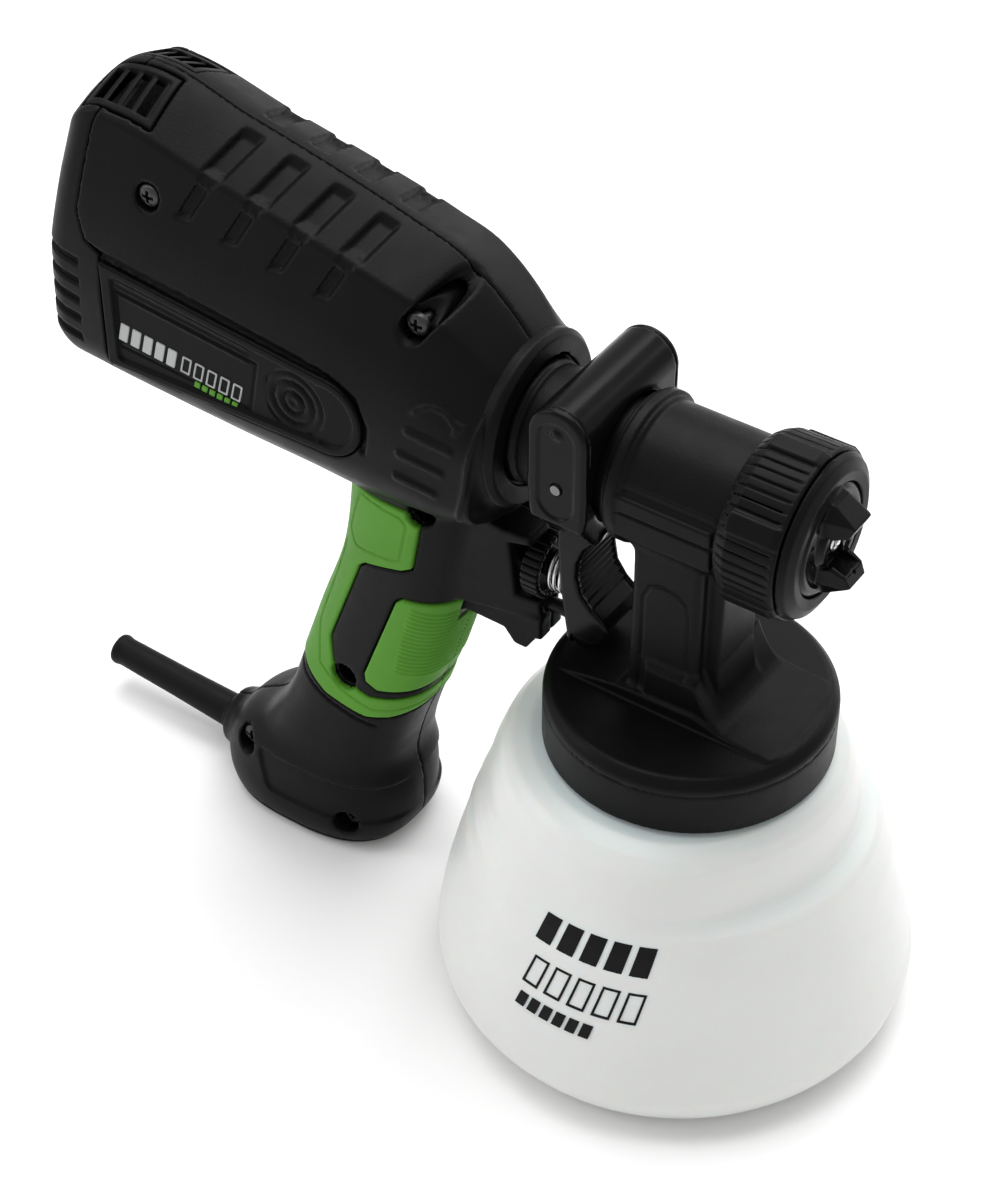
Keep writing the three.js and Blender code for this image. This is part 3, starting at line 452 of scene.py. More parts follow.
# ---------------------------------------------------------------- handle and foot
HANDLE_Z = (0, 4, 18, 26, 33, 41, 50, 62, 90, 117, 140, 172)
HANDLE_REAR = (-157, -158.8, -159.5, -155, -144.5, -138.5, -134, -130, -120.5, -111, -107.5, -107.5)
HANDLE_FRONT = (-99, -95.8, -92.8, -93.4, -95, -94, -91.5, -87.3, -78.6, -70.5, -66, -62)
HANDLE_HALF = (21.5, 22.8, 22.8, 22, 20.6, 19.6, 18.6, 17.6, 17.2, 17.2, 17.2, 17.2)
TILT = (0.283, 0.959)  # direction of the handle's axis in the XZ plane


def handle(x, y, z, grow=0.0):
    """The handle and foot: an oval section that flares into the foot."""
    rear, front, half = (curve(z, HANDLE_Z, v) for v in (HANDLE_REAR, HANDLE_FRONT, HANDLE_HALF))
    reach, middle = (front - rear) / 2 + grow, (front + rear) / 2
    half = half + grow
    p = 2.7
    u, v = np.abs(x - middle) / reach + 1e-4, np.abs(y) / half + 1e-4
    size = (u ** p + v ** p) ** (1 / p)
    slope = size ** (1 - p) * np.hypot(u ** (p - 1) / reach, v ** (p - 1) / half)
    return (size - 1) / slope * 0.9


REAR_GRIP = (
    (-150, 147), (-82.2, 145.2), (-78.6, 142), (-81.6, 124.8), (-84.8, 122.8), (-97.8, 119.4), (-100.4, 117),
    (-112.4, 84), (-111, 70.5), (-98.5, 66.2), (-88, 67.6), (-60, 70.5), (-60, 63.5), (-84, 62), (-93, 59),
    (-100, 58), (-114, 60.8), (-125, 66.8), (-150, 72),
)
FRONT_GRIP = (
    (-84, 112.4), (-50, 112.4), (-50, 73.6), (-84, 71.6), (-95.6, 70.4), (-99.4, 73), (-99.6, 76),
    (-87.4, 109.5),
)
INNER_LINE = (
    (-99.2, 144.2), (-84.6, 142.6), (-82.4, 140.4), (-85.2, 126.8), (-87.6, 125.6), (-101.5, 124),
    (-104.5, 128),
)
RIM_LINE = ((-106.6, 122), (-117.4, 86), (-116.4, 71.5), (-108, 65.4), (-97, 61.8), (-87, 63.6), (-60, 66.6))
HORN = (
    (-84, 150), (-57, 148.6), (-47.4, 146.8), (-47, 143.6), (-53.2, 143.2), (-53.4, 121.6), (-46.6, 120.4),
    (-46.4, 112.6), (-60, 112.8), (-84, 113.6),
)
KEEL = (
    (-80, 106), (-58.6, 105.6), (-55.2, 101.4), (-51.2, 101.2), (-48, 106.4), (-46.2, 106.8), (-46.2, 114.4),
    (-80, 115),
)
RIDGE_FROM, RIDGE_TO = (-75.5, 118.0), (-56.6, 144.7)
NOSE_R = 9.8
INLET = (-160.0, 8.6)
INLET_TILT = math.radians(4)


def inlet_axis(x, y, z):
    """Distance along and away from the cord inlet's axis."""
    along = (x - INLET[0]) * math.cos(INLET_TILT) - (z - INLET[1]) * math.sin(INLET_TILT)
    up = (x - INLET[0]) * math.sin(INLET_TILT) + (z - INLET[1]) * math.cos(INLET_TILT)
    return along, np.hypot(y, up)


def horn_side(x, z):
    """Distance below and in front of the ridge on the guard's side."""
    (ax, az), (bx, bz) = RIDGE_FROM, RIDGE_TO
    return ((x - ax) * (bz - az) - (z - az) * (bx - ax)) / math.hypot(bx - ax, bz - az)


def horn(x, y, z):
    """The guard in front of the handle that carries the flow knob, with a facet below its ridge."""
    a = np.abs(y)
    below = horn_side(x, z)
    side = a - 12.2 + np.maximum(below, 0) * 0.3 + np.maximum(-below - 4, 0) * 0.12
    body = smax(outline(x, z, HORN), side * 0.95, 1.2)
    return smin(body, smax(outline(x, z, KEEL), a - 5.6, 0.8), 1.0)


def foot_details(d, x, y, z):
    """The recessed band round the foot, the collar line above it and the base seam."""
    a = np.abs(y)
    low = (z < 68) & (x < -80)
    if not low.any():
        return d
    panel = smax(slab(z, 12.5, 26.2), -(x + 139.5 - (26 - z) * 0.3), 2.5)
    d = np.where(low, d + 0.8 * fade(panel, -0.6, 0.3) * ramp(a, 3, 13), d)
    d = np.where(low, d + 0.5 * fade(np.abs(panel), 0.1, 0.5) * ramp(a, 3, 13), d)
    seam = np.abs(z - 2.6)
    lip = path(x, z, ((-127.5, 64.5), (-124, 62.3), (-113, 58.2), (-97.5, 54.4)))
    d = scored(d, np.where(low, seam, 9), 0.35, 0.7)
    return scored(d, np.where(low & (a > 8), lip, 9), 0.45, 0.8)


def outside(x, y, z):
    """Everything the two shells enclose."""
    d = upper_outside(x, y, z)
    grip = meet(handle(x, y, z, SKIN), z - 168)
    nose = meet(np.hypot(y, z - NOSE_R - 0.1) - NOSE_R, slab(x, -166, -140))
    nose = smax(nose, -(x + 166), 3.0)
    grip = smin(grip, nose, 5.0)
    grip = foot_details(grip, x, y, z)
    grip = smax(grip, -z, 1.6)
    d = smin(d, grip, 2.2)
    return smin(d, horn(x, y, z), 2.0)


def hollow(x, y, z):
    """The space inside the shells."""
    upper = smax(hull(x, y, z) + SHELL + 0.5, x + 57.2, 1.5)
    grip = meet(handle(x, y, z, -SHELL), slab(z, 2.8, 160))
    inner = smax(outline(x, z, HORN) + 2.6, np.abs(y) - 9.0 + np.maximum(horn_side(x, z), 0) * 0.4, 1.0)
    return smin(smin(upper, grip, 1.5), meet(inner, slab(x, -84, -56)), 1.0)


def screw_room(x, y, z):
    """Recesses for the screw heads, and their shank holes."""
    room = np.full_like(x, 9.0)
    for name, sx, sz, face in SCREWS:
        r = np.hypot(x - sx, z - sz)
        edge = r - HEAD_R - 0.7
        recess = meet(edge, y - face - 6)
        mouth = meet(edge - np.clip((face + 2.0 - y) * 0.45, 0, 2.2), y - face - 4)
        shank = meet(r - 1.9, slab(y, face, 11))
        room = np.minimum.reduce([room, recess, shank] + ([mouth] if "housing" in name else []))
    return room


def front_channel(x, y, z):
    """The half-round channel that leads from the front screw up to the crest."""
    a, b = np.array((-76.8, -25.5, 211.5)), np.array((-69.0, -1.5, 223.0))
    d = b - a
    t = np.clip(((x - a[0]) * d[0] + (y - a[1]) * d[1] + (z - a[2]) * d[2]) / (d @ d), 0, 1)
    return np.sqrt((x - a[0] - t * d[0]) ** 2 + (y - a[1] - t * d[1]) ** 2 + (z - a[2] - t * d[2]) ** 2) - 4.1


def grip_areas(x, y, z):
    """Outlines of the rear and front grips, seen from the side."""
    room = np.full_like(x, -9.0)
    for _, sx, sz, _ in SCREWS[2:4]:
        room = meet(room, HEAD_R + 1.6 - np.hypot(x - sx, z - sz))
    keel = meet(np.abs(y) - 6.4, 100.6 - z, -90 - x)
    rear = meet(outline(x, z, REAR_GRIP), room, z - 147)
    front = meet(outline(x, z, FRONT_GRIP), z - 111.6, -keel)
    return rear, front


def grip_pocket(x, y, z):
    """The room in the handle's skin that the soft grips fill."""
    area = np.minimum(*grip_areas(x, y, z)) - POCKET_MARGIN
    return smax(area, -(handle(x, y, z, SKIN) + POCKET_DEPTH), 0.2)


def shells(x, y, z):
    """Both halves of the housing as one solid."""
    solid = outside(x, y, z)
    d = meet(solid, -hollow(x, y, z))
    for _, sx, sz, _ in SCREWS:
        d = join(d, meet(np.hypot(x - sx, z - sz) - 4.6, solid + 0.4))
    tight = join(
        screw_room(x, y, z),
        rod(np.hypot(y, z - AXIS_Z), 21.7, x, -90, -48),
        rod(np.hypot(y, z - KNOB_Z), 3.5, x, -60, -45),
        rod(np.hypot(y, z - PLUNGER_Z), 2.8, x, -79, -40),
    )
    along, away = inlet_axis(x, y, z)
    cord = join(meet(away - 6.2, along - 6), rod(away, 7.4, along, 4.5, 20))
    tight = join(tight, np.where(z < 30, cord, 9))
    recess = smax(panel_area(x, z) - 0.4, 28.5 - np.abs(y), 0.2)
    d = carve(d, join(tight, recess, grille_opening(x, y, z)), 0.35)
    d = carve(d, front_channel(x, y, z), 0.8)
    if (z < 150).any():
        d = carve(d, grip_pocket(x, y, z), 0.3)
    return meet(d, -past_lip(x, z))


def shell_right(x, y, z):
    return meet(shells(x, y, z), y + PART_GAP)


def shell_left(x, y, z):
    return meet(shells(x, y, z), PART_GAP - y)


# ---------------------------------------------------------------- rear cover, panels, grilles
def cover(x, y, z):
    """The rear cover: a cap with ribs down each rear corner."""
    skin = plain = smax(hull(x, y, z), rear_face(x, y, z), 6.0)
    turn = np.interp(z, (160, 170, 200, 240), (-189, -191, -189.5, -184))
    for i in range(5):
        level = 169.5 + i * 6.4
        band = np.abs(z - level - np.clip(-186 - x, 0, 20) * 0.16) - 1.15
        reach = meet(np.abs(y) - 31, 17.5 - np.abs(y))
        groove = meet(band, reach, -(x + 203), x - turn - 5.0)
        skin = np.where(x > -215, skin + 1.5 * fade(groove, -0.5, 0.4), skin)
    d = meet(skin, -(plain + SHELL))
    return smax(carve(d, grille_opening(x, y, z), 0.35), past_lip(x, z) + 0.3, 0.4)


def side_panel(side):
    """The name panel's field, with a raised border, contour lines and rings round its front end."""
    def field(x, y, z):
        a = y * side
        area = panel_area(x, z)
        inner = smax(area + 2.6, -(x + 173.2), 3.0)
        face = PANEL_FACE - 0.9 * fade(inner, -0.5, 0.3)
        rings = np.hypot(x + 111, z - 178)
        swirl = (rings < 10.2) & (x > -120)
        face = face - 0.35 * swirl * (0.5 + 0.5 * np.cos(rings * 2 * math.pi / 3.4)) * (inner < -1)
        plate_edge = np.abs(outline(x, z, ((-172, 172), (-126, 169.5), (-123, 186), (-172, 190.5)))) - 0.1
        face = face - 0.3 * fade(plate_edge, 0.1, 0.5)
        level = z + (x + 177) * 0.1
        lines = np.abs((level - 193.6) % 2.2 - 1.1)
        lined = (level > 189) * (inner < -0.6) * (x < -126)
        face = face + 0.25 * fade(lines, 0.2, 0.5) * lined
        return meet(smax(area, a - face, 0.7), PANEL_BACK - a)
    return field


BADGE = (  # start, end, cell, half height, middle height at the start, outlined
    (-172.2, -151.2, 4.2, 3.1, 177.3, False),
    (-150.4, -128.4, 4.4, 2.9, 175.1, True),
    (-146.0, -130.4, 2.6, 1.0, 169.9, False),
)


def badge(side, part):
    """A row of plain slanted bars, in place of lettering."""
    start, end, cell, half, middle, open_bars = BADGE[part]

    def field(x, y, z):
        rise = z - middle + (x - start) * 0.1
        u = x - rise * 0.25 - start
        bar = np.abs(u % cell - cell / 2) - cell * 0.36
        shape = smax(smax(bar, np.abs(rise) - half, 0.3), meet(-u, u - (end - start)), 0.2)
        if open_bars:
            shape = meet(shape, -shape - 0.5)
        return smax(shape, slab(y * side, 29.1, 29.75), 0.12)
    return field


def grille(side):
    """A frame with four sloping blades, its skin following the roof."""
    def field(x, y, z):
        skin = hull(x, y, z)
        frame_edge = outline(x, -np.abs(y), GRILLE) + 0.05
        depth = -skin
        lean = x + depth * 0.9
        cell = (lean + 188.4) % 5.0
        blade = np.abs(cell - 2.5) - 1.0
        inside = frame_edge + 2.0
        d = meet(smax(frame_edge, skin + 0.25, 0.5), -skin - 3.2)
        gaps = meet(inside, -blade)
        d = smax(d, -gaps, 0.4)
        d = smax(d, -meet(inside, -skin - 1.0), 0.5)
        return meet(d, 0.2 - y * side)
    return field


# ---------------------------------------------------------------- soft grips
RIB_PITCH = 1.8


def rear_grip(side):
    """The soft skin round the back of the handle, with two embossed lines."""
    def field(x, y, z):
        skin = handle(x, y, z, SKIN)
        area = grip_areas(x, y, z)[0]
        lines = join(path(x, z, INNER_LINE + INNER_LINE[:1]), path(x, z, RIM_LINE))
        outer = skin - 0.45 + 0.4 * fade(lines, 0.15, 0.55)
        d = smax(area, outer, 0.9)
        return meet(d, -(skin + SOFT_DEPTH), PART_GAP - y * side)
    return field


def front_grip(side):
    """The finger pad: ribs across the front of the handle."""
    def field(x, y, z):
        skin = handle(x, y, z, SKIN)
        area = grip_areas(x, y, z)[1]
        along = x * TILT[0] + z * TILT[1]
        start = np.interp(z, (75.3, 85, 96.9, 109.7), (-91.2, -89.1, -86.4, -82.6))
        ribbed = ramp(x - start, 0, 1.2) * ramp(along, 50.5, 51.5) * fade(along, 81.5, 82.5)
        wave = 0.5 + 0.5 * np.cos(along * 2 * math.pi / RIB_PITCH)
        d = smax(area, skin - 0.55 - 0.45 * ribbed * wave, 1.1)
        return meet(d, -(skin + SOFT_DEPTH), PART_GAP - y * side)
    return field


BOOT_ALONG = (-56, -54.5, -52.5, -30, -8.5, -7.6, -6.4, -5.4, 6)
BOOT_R = (4.9, 5.2, 4.8, 5.1, 5.7, 6.5, 6.5, 5.8, 5.8)


def boot(x, y, z):
    """The cord's strain relief, with a bead where it enters the foot."""
    along, away = inlet_axis(x, y, z)
    d = rod(away, np.interp(along, BOOT_ALONG, BOOT_R), along, -56, 9)
    d = join(smax(d, -56 - along, 0.8), rod(away, 7.0, along, 5.0, 9.0))
    return smax(d, 2.9 - away, 0.4)


SOCKET_RIM = ((-56.2, 19), (-56.2, 22.6), (-54.6, 24.8), (-51.6, 25.2), (-50, 23.8), (-50, 19))


def socket(x, y, z):
    """The bayonet ring that the head twists into, with a thick rim and three entry notches."""
    rho, turn = polar(y, z, AXIS_Z)
    rim = outline(x, rho, SOCKET_RIM) - 0.3
    d = smin(meet(slab(rho, 17.3, 21.2), slab(x, -82.9, -51.0)), rim, 0.6)
    notch = np.abs((turn + 0.5) % (2 * math.pi / 3) - math.pi / 3) * rho - 2.6
    d = carve(d, meet(notch, rho - 19.2, -60 - x), 0.4)
    return smax(d, 17.35 - rho, 0.5)


def screw_head(x, y, z):
    """A pan head with a cross recess on a threaded shank, its seat at the origin, pointing along +Y."""
    rho = np.hypot(x, z)
    dome = meet(np.sqrt(rho * rho + (y - 3.4) ** 2) - 6.1, slab(y, -2.6, 0))
    head = smax(dome, rho - HEAD_R, 0.5)
    ax, az = np.abs(x), np.abs(z)
    cross = join(meet(ax - 0.5, az - 2.0), meet(az - 0.5, ax - 2.0))
    head = smax(head, -meet(cross, y + 1.2 - rho * 0.3), 0.15)
    wave = (y * 0.62 + np.arctan2(z, x) / (2 * math.pi)) % 1.0
    thread = meet(rho - 1.35 - 0.35 * (1 - np.abs(wave * 2 - 1)), slab(y, -0.5, 9.0))
    return join(head, thread * 0.8)


# ---------------------------------------------------------------- spray head
TUBE_R = 17
BARREL_R = 19.3
LID_R = 41
NECK_ARCH = (
    (-8.6, 108), (-8.6, 148), (-6.6, 152.4), (-3, 153.8), (1.6, 153.2), (4.6, 150.6), (5.4, 147), (5.4, 108),
)


def head(x, y, z):
    """Air tube, collar, barrel, neck and lid in one moulding."""
    a = np.abs(y)
    rho = np.hypot(y, z - AXIS_Z)
    tube = smax(rho - TUBE_R, slab(x, -66, -12), 0.8)
    score_line = 0.6 * fade(np.abs(x + 47.8), 0.5, 0.9)
    tube = tube - 0.6 * (x > -50) * fade(x, -49, -47.5) + score_line * 0.3
    collar = smin(
        smax(rho - 20.2, slab(x, -19.4, -13.2), 0.7),
        smax(rho - 21.2, slab(x, -17.8, -14.6), 0.6), 0.3)
    lines = join(np.abs(z - 187.2), np.abs(z - 184.8))
    barrel = smax(rho - BARREL_R - 0.5 * fade(lines, 0.25, 0.75) * (x < 14.2), slab(x, -14, 22), 0.6)
    d = smin(smin(tube, collar, 0.8), barrel, 0.7)
    band = smax(a - 20.4, smax(slab(z, 171.4, 184.2), slab(x, -15.4, 14.0), 0.8), 0.8)
    groove = meet(np.abs(z - 179.2) - 0.35, 19.6 - a)
    d = smin(d, carve(band, groove, 0.3), 0.5)
    flank = np.interp(z, (109, 118, 150, 172), (15.5, 14.2, 13.6, 13.8))
    flare = slab(x, -12.6, 8.6 + np.maximum(124 - z, 0) * 0.25)
    neck = smax(smax(a - flank, flare, 2.4), slab(z, 105, 178), 0.2)
    arch = np.abs(outline(x, z, NECK_ARCH))
    neck = neck + 0.5 * fade(arch, 0.15, 0.6) * (a > 9)
    flare = slab(x, 6, 13.2 + np.maximum(130 - z, 0) * 0.12)
    neck = smin(neck, smax(smax(a - 9.5, flare, 1.2), slab(z, 108, 170), 0.5), 0.8)
    d = smin(d, neck, 3.0)
    r = np.hypot(x, y)
    lid = smax(r - LID_R, slab(z, 93.5, 112), 0.6)
    lid = smax(lid, (r - 38.6 + (z - 112) * 0.95) * 0.72, 0.8)
    lid = lid + 0.4 * fade(np.abs(z - 107.2), 0.1, 0.5) * (r > 38)
    inside_rim = meet(108 - z, r - 37.8)
    rise = np.interp(x, (-35, -29, -15, 10, 14, 18, 34, 36), (0, 0.8, 3.4, 4.2, 3.0, 1.6, 0.6, 0))
    deck = smax(slab(y, -16.8, 20.2), meet((z - 112 - rise) * 0.98, inside_rim), 0.7)
    sweep = np.clip(20.5 - x, 0, 11) ** 2 * 0.105
    fillet = smax(slab(y, -15.6, 18.8), (z - 112.8 - sweep) * 0.6, 0.8)
    fillet = smax(fillet, meet(slab(x, -6, 20.5), inside_rim), 0.4)
    lid = smin(smin(lid, deck, 0.5), fillet, 0.6)
    d = smin(d, lid, 2.0)
    lug = smax(smax(a - 6, slab(x, -34.5, -27.5), 0.8), slab(z, 190, 200.9), 0.8)
    d = smin(d, lug, 1.0)
    airway = join(meet(rho - 14, x - 5), meet(rho - 16, 4 - x))
    core = np.minimum.reduce([
        rod(rho, 6.5, x, -20, 9),
        meet(slab(x, -12, 7), a - 4.5, slab(z, 163, 180)),
        meet(slab(x, -2, 7), a - 1.5, slab(z, 180, 197)),
        meet(slab(x, -52, -50), join(meet(a - 1.5, rho - 15), slab(rho, 5.2, 8))),
        rod(rho, 6, x, -52, -51),
    ])
    d = join(meet(d, -airway), core)
    riser = np.hypot(x + 1, y)
    bores = join(
        rod(rho, 2.4, x, -21, 10),
        rod(rho, 4.6, x, -21, -15),
        rod(rho, 5.0, x, 4, 10),
        rod(riser, 2.4, z, 90, 180),
        rod(riser, 3.5, z, 90, 150),
        rod(r, 38.2, z, 80, 107),
        rod(segment(x, z, (-34.4, AXIS_Z), (-29.6, AXIS_Z)), 2.4, a, 10, 22),
        meet(np.hypot(x - PIVOT_X, z - PIVOT_Z) - 1.9, a - 8),
    )
    return smax(d, -bores, 0.3)


NUT = (
    (15.6, 19.9), (15.6, 21.2), (17.2, 22.4), (19.4, 23.4), (33.2, 23.6), (36.2, 21.8), (37.6, 19),
    (37.4, 16.4), (33.7, 16.3), (33.7, 19.9),
)
NUT_RIBS = 50


def nut(x, y, z):
    """The retaining ring: fine ribs along it and six raised lugs."""
    rho, turn = polar(y, z, AXIS_Z)
    d = outline(x, rho, NUT) - 0.25
    wave = np.abs(np.sin(turn * NUT_RIBS / 2))
    valley = fade(wave, 0.1, 0.42) * fade(x, 31.0, 33.6) * (rho > 19.8) * ramp(x, 15.6, 17.5)
    d = d + 0.85 * valley
    lug_turn = np.abs((turn + math.pi / 6) % (math.pi / 3) - math.pi / 6)
    lug = smax(lug_turn * rho - 3.0, slab(x, 18.6, 34.8), 0.8)
    d = smin(d, smax(lug, slab(rho, 22.0, 24.9 - np.maximum(x - 32, 0) * 0.5), 0.8), 0.4)
    ring = np.abs(x - 34.2) - 0.3
    return smax(d, -meet(ring, 21.5 - rho), 0.3)


CAP = (
    (26, 3.2), (26, 11), (30, 11), (30, 18.4), (33.2, 18.4), (33.4, 15.8), (36.8, 15.7), (37.8, 14.4),
    (37.8, 12.9), (37, 12.4), (37.2, 8), (38.9, 6.2), (38.9, 4.2), (37.6, 3.2),
)
CAP_HORN = ((34, 185.8), (34, 193.4), (37.6, 194.8), (39.4, 194.2), (46, 189.6), (44.6, 186.4), (40.6, 184.8))
CAP_MOUTH = ((24, -1), (24, 10), (26, 9.4), (35.5, 4.6), (35.5, -1))


def cap(x, y, z):
    """The air cap: a dished disc with two horns that flatten the spray."""
    a = np.abs(y)
    up = AXIS_Z + np.abs(z - AXIS_Z)
    rho = np.hypot(y, z - AXIS_Z)
    d = outline(x, rho, CAP) - 0.15
    taper = 6.2 - np.clip(x - 37, 0, 12) * 0.22 - np.clip(up - 190, 0, 6) * 0.45
    tooth = smax(outline(x, up, CAP_HORN), a - taper, 0.5)
    d = smin(d, tooth, 0.6)
    seat = meet(slab(x, 37.9, 47), meet(a - 3.6, slab(up, 179, 186.6)))
    d = carve(d, seat, 0.3)
    jets = np.hypot(y, (up - 188.0) + (x - 43.5) * 0.75) - 0.55
    d = carve(d, meet(jets, slab(x, 40, 50)), 0.1)
    holes = np.hypot(a - 9.2, up - 180 - 3.4) - 0.6
    d = carve(d, meet(holes, slab(x, 33, 40)), 0.1)
    return meet(d, -outline(x, rho, CAP_MOUTH), -rod(rho, 3.1, x, 30, 50))


NOZZLE = (
    (5.3, 2.3), (5.3, 4.5), (9.4, 4.6), (9.4, 9), (13, 9), (13, 7), (20, 6), (33, 3.4), (36, 2.7), (39, 2.5),
    (39, 1.5), (33.5, 1.5), (33.5, 2.3),
)


def nozzle(x, y, z):
    """The turned paint nozzle in the middle of the air cap."""
    return outline(x, np.hypot(y, z - AXIS_Z), NOZZLE) - 0.1


# ---------------------------------------------------------------- trigger
PLATE_TOP, PLATE_LOW = 196.2, 179.0
PIN_R = 1.75
LEVER = (
    (-37.2, 160), (-37.8, 150), (-37, 132), (-35.6, 116), (-33.4, 112.6), (-29.6, 112.4), (-26, 116),
    (-22.4, 122.2), (-21.8, 124.8), (-23.6, 127.4), (-27.4, 130.2), (-30.6, 134.2), (-31.9, 140),
    (-31.4, 146), (-29.2, 151.6), (-25, 157), (-22.6, 161),
)
STEM = (
    (-40.1, 182), (-39.6, 172), (-37.6, 162), (-37.4, 158), (-24, 158), (-23, 164), (-22, 172), (-21.9, 182),
)
LEVER_PITCH = 2.1


def trigger(x, y, z):
    """The trigger: an arch over the air tube, two side plates and a ribbed finger lever."""
    a = np.abs(y)
    rho = np.hypot(y, z - AXIS_Z)
    plate = segment(x, z, (PIVOT_X, PLATE_TOP), (PIVOT_X, PLATE_LOW)) - 9.1
    side = smin(plate, outline(x, z, STEM), 0.6)
    width = np.interp(z, (150, 156, 169), (11.4, 12.0, 23.0))
    yoke = smax(side, (a - width) * 0.85, 1.5)
    rim = smax(segment(x, z, (PIVOT_X, 195.6), (PIVOT_X, 176)) - 5.4, 22.4 - a, 0.1)
    yoke = yoke + 0.9 * fade(rim, -0.35, 0.35)
    bump = np.sqrt((x - PIVOT_X) ** 2 + (z - 197.6) ** 2 + (a - 20.2) ** 2) - 2.9
    yoke = smin(yoke, bump, 0.3)
    edge = np.abs(a - 20.9) - 0.25
    yoke = carve(yoke, np.where(z > 190, meet(edge, 8.7 - np.hypot(x - PIVOT_X, z - 196.2)), 9), 0.2)
    pocket = meet(a - 7.2, slab(z, 180, 202.3), slab(x, -36.6, -25.4))
    yoke = carve(yoke, join(rho - 18.6, pocket), 0.7)
    yoke = meet(yoke, -meet(a - 18.6, slab(z, 176, 184)))
    lever = smax(outline(x, z, LEVER), a - np.interp(z, (112, 126, 150, 160), (8.4, 9.6, 11.2, 11.6)), 1.2)
    ribs = 0.5 + 0.5 * np.cos(z * 2 * math.pi / LEVER_PITCH)
    ribs = ribs * ramp(z, 129, 130.5) * fade(z, 154, 155.5)
    front = ramp(x, -34.5, -33.5) * fade(a, 8.3, 8.9)
    lever = lever + front * (0.9 - 0.75 * ribs)
    back = meet(segment(x, z, (-39.6, 152), (-37.9, 122)) - 2.6, a - 7.5)
    lever = carve(lever, back, 0.6)
    d = smin(yoke, lever, 1.2)
    axle_hole = meet(np.hypot(x - PIVOT_X, z - PIVOT_Z) - PIN_R, a - 21.2)
    return carve(d, join(axle_hole, np.hypot(x - PIVOT_X, z - AXIS_Z) - PIN_R), 0.2)


def knob(x, y, z):
    """The flow knob: coarse knurl, dished front, stem into the guard."""
    rho, turn = polar(y, z, KNOB_Z)
    tooth = 0.5 * fade(np.abs(np.sin(turn * 14)), 0.15, 0.55)
    disc = smax(rho - 10.4, slab(x, KNOB_X, KNOB_X + 5.8), 0.7) + tooth * (rho > 8)
    disc = carve(disc, meet(slab(rho, 4.0, 8.7), KNOB_X + 4.3 - x), 0.3)
    stem = meet(rho - 3, slab(x, KNOB_X - 10, KNOB_X + 1))
    return join(disc, stem)


# ---------------------------------------------------------------- swept and lofted pieces
def swept(name, points, radius, sides=10):
    """A round rod along a list of points, closed at both ends."""
    p = np.array(points, float)
    tangent = np.gradient(p, axis=0)
    tangent /= np.linalg.norm(tangent, axis=1)[:, None]
    normal = np.cross(tangent[0], (0.31, 0.52, 0.79))
    normal /= np.linalg.norm(normal)
    rings = []
    for here, t in zip(p, tangent):
        normal = normal - t * (normal @ t)
        normal /= np.linalg.norm(normal)
        other = np.cross(t, normal)
        turn = np.linspace(0, 2 * math.pi, sides, endpoint=False)[:, None]
        rings.append(here + radius * (np.cos(turn) * normal + np.sin(turn) * other))
    return lofted(name, rings)


def lofted(name, rings, closed=False):
    """A skin over rings of points; the ends are capped unless the rings form a loop."""
    count, sides = len(rings), len(rings[0])
    faces = []
    for r in range(count if closed else count - 1):
        for i in range(sides):
            j = (i + 1) % sides
            s = (r + 1) % count
            faces.append((r * sides + i, r * sides + j, s * sides + j, s * sides + i))
    if not closed:
        faces.append(tuple(range(sides - 1, -1, -1)))
        faces.append(tuple((count - 1) * sides + i for i in range(sides)))
    return mesh_object(name, np.concatenate(rings), faces)


def coil(name, start, end, radius, wire, turns, centre):
    """A coil spring along X whose end turns lie flat."""
    points = []
    steps = 40 * turns
    for i in range(steps + 1):
        t = i / steps * turns
        along = ramp(t, -0.6, turns + 0.6)
        angle = 2 * math.pi * t
        x = start + wire + (end - start - 2 * wire) * along
        points.append((x, centre[0] + radius * math.cos(angle), centre[1] + radius * math.sin(angle)))
    return swept(name, points, wire, 12)


# Height, radius towards the front left and radius towards the rear right: the cup is fuller at the rear.
CUP_RINGS = (
    (0, 58.5, 58.5), (0.6, 61, 61.2), (2.2, 63.6, 64.2), (5, 66.4, 67.4), (9, 68.6, 69.8), (14, 69.6, 70.9),
    (19, 68.9, 70.6), (34, 65, 67.9), (56, 59.6, 61.8), (63, 57.6, 59.9), (66.5, 56.6, 58.6),
    (68.2, 55.2, 58), (69.6, 52.6, 57.6), (71, 50.6, 57.2), (73, 49.4, 56.6), (78, 49, 55.4), (82, 48.4, 54),
    (86.5, 47.2, 52.2), (89.5, 45.2, 49.4), (91.6, 42, 44.5), (92.4, 39, 39.5), (93, 37.2, 37.2),
    (103.5, 37.2, 37.2),
)
CUP_TURN = math.radians(34)
CUP_WALL = 2.0
CUP_FLOOR = 2.6
THREAD_PITCH, THREAD_HEIGHT, THREAD_LOW, THREAD_HIGH = 3.2, 0.7, 94.5, 101.5


def cup_share(angle):
    """0 on the cup's narrower side and 1 on its fuller side."""
    return ramp(-np.cos(angle - CUP_TURN), -0.5, 0.5)


def cup_radius(angle, z):
    """Outside radius of the cup's wall at an angle and height."""
    level, front, rear = zip(*CUP_RINGS)
    front, rear = np.interp(z, level, front), np.interp(z, level, rear)
    return front + (rear - front) * cup_share(angle)


PRINT_LEAN = math.radians(0.22)  # slant of the bars, in angle for each millimetre of height
PRINT_LIFTS = (0.22, -0.6)  # outer and inner skin of the print, from the cup's wall
CUP_MARKS = (  # first angle, cell, number of bars, low, high, outlined; angles in degrees
    (-100, 6.8, 5, 55.0, 66.0, False),
    (-100.5, 6.6, 5, 41.5, 51.5, True),
    (-101, 3.6, 6, 33.6, 38.0, False),
)


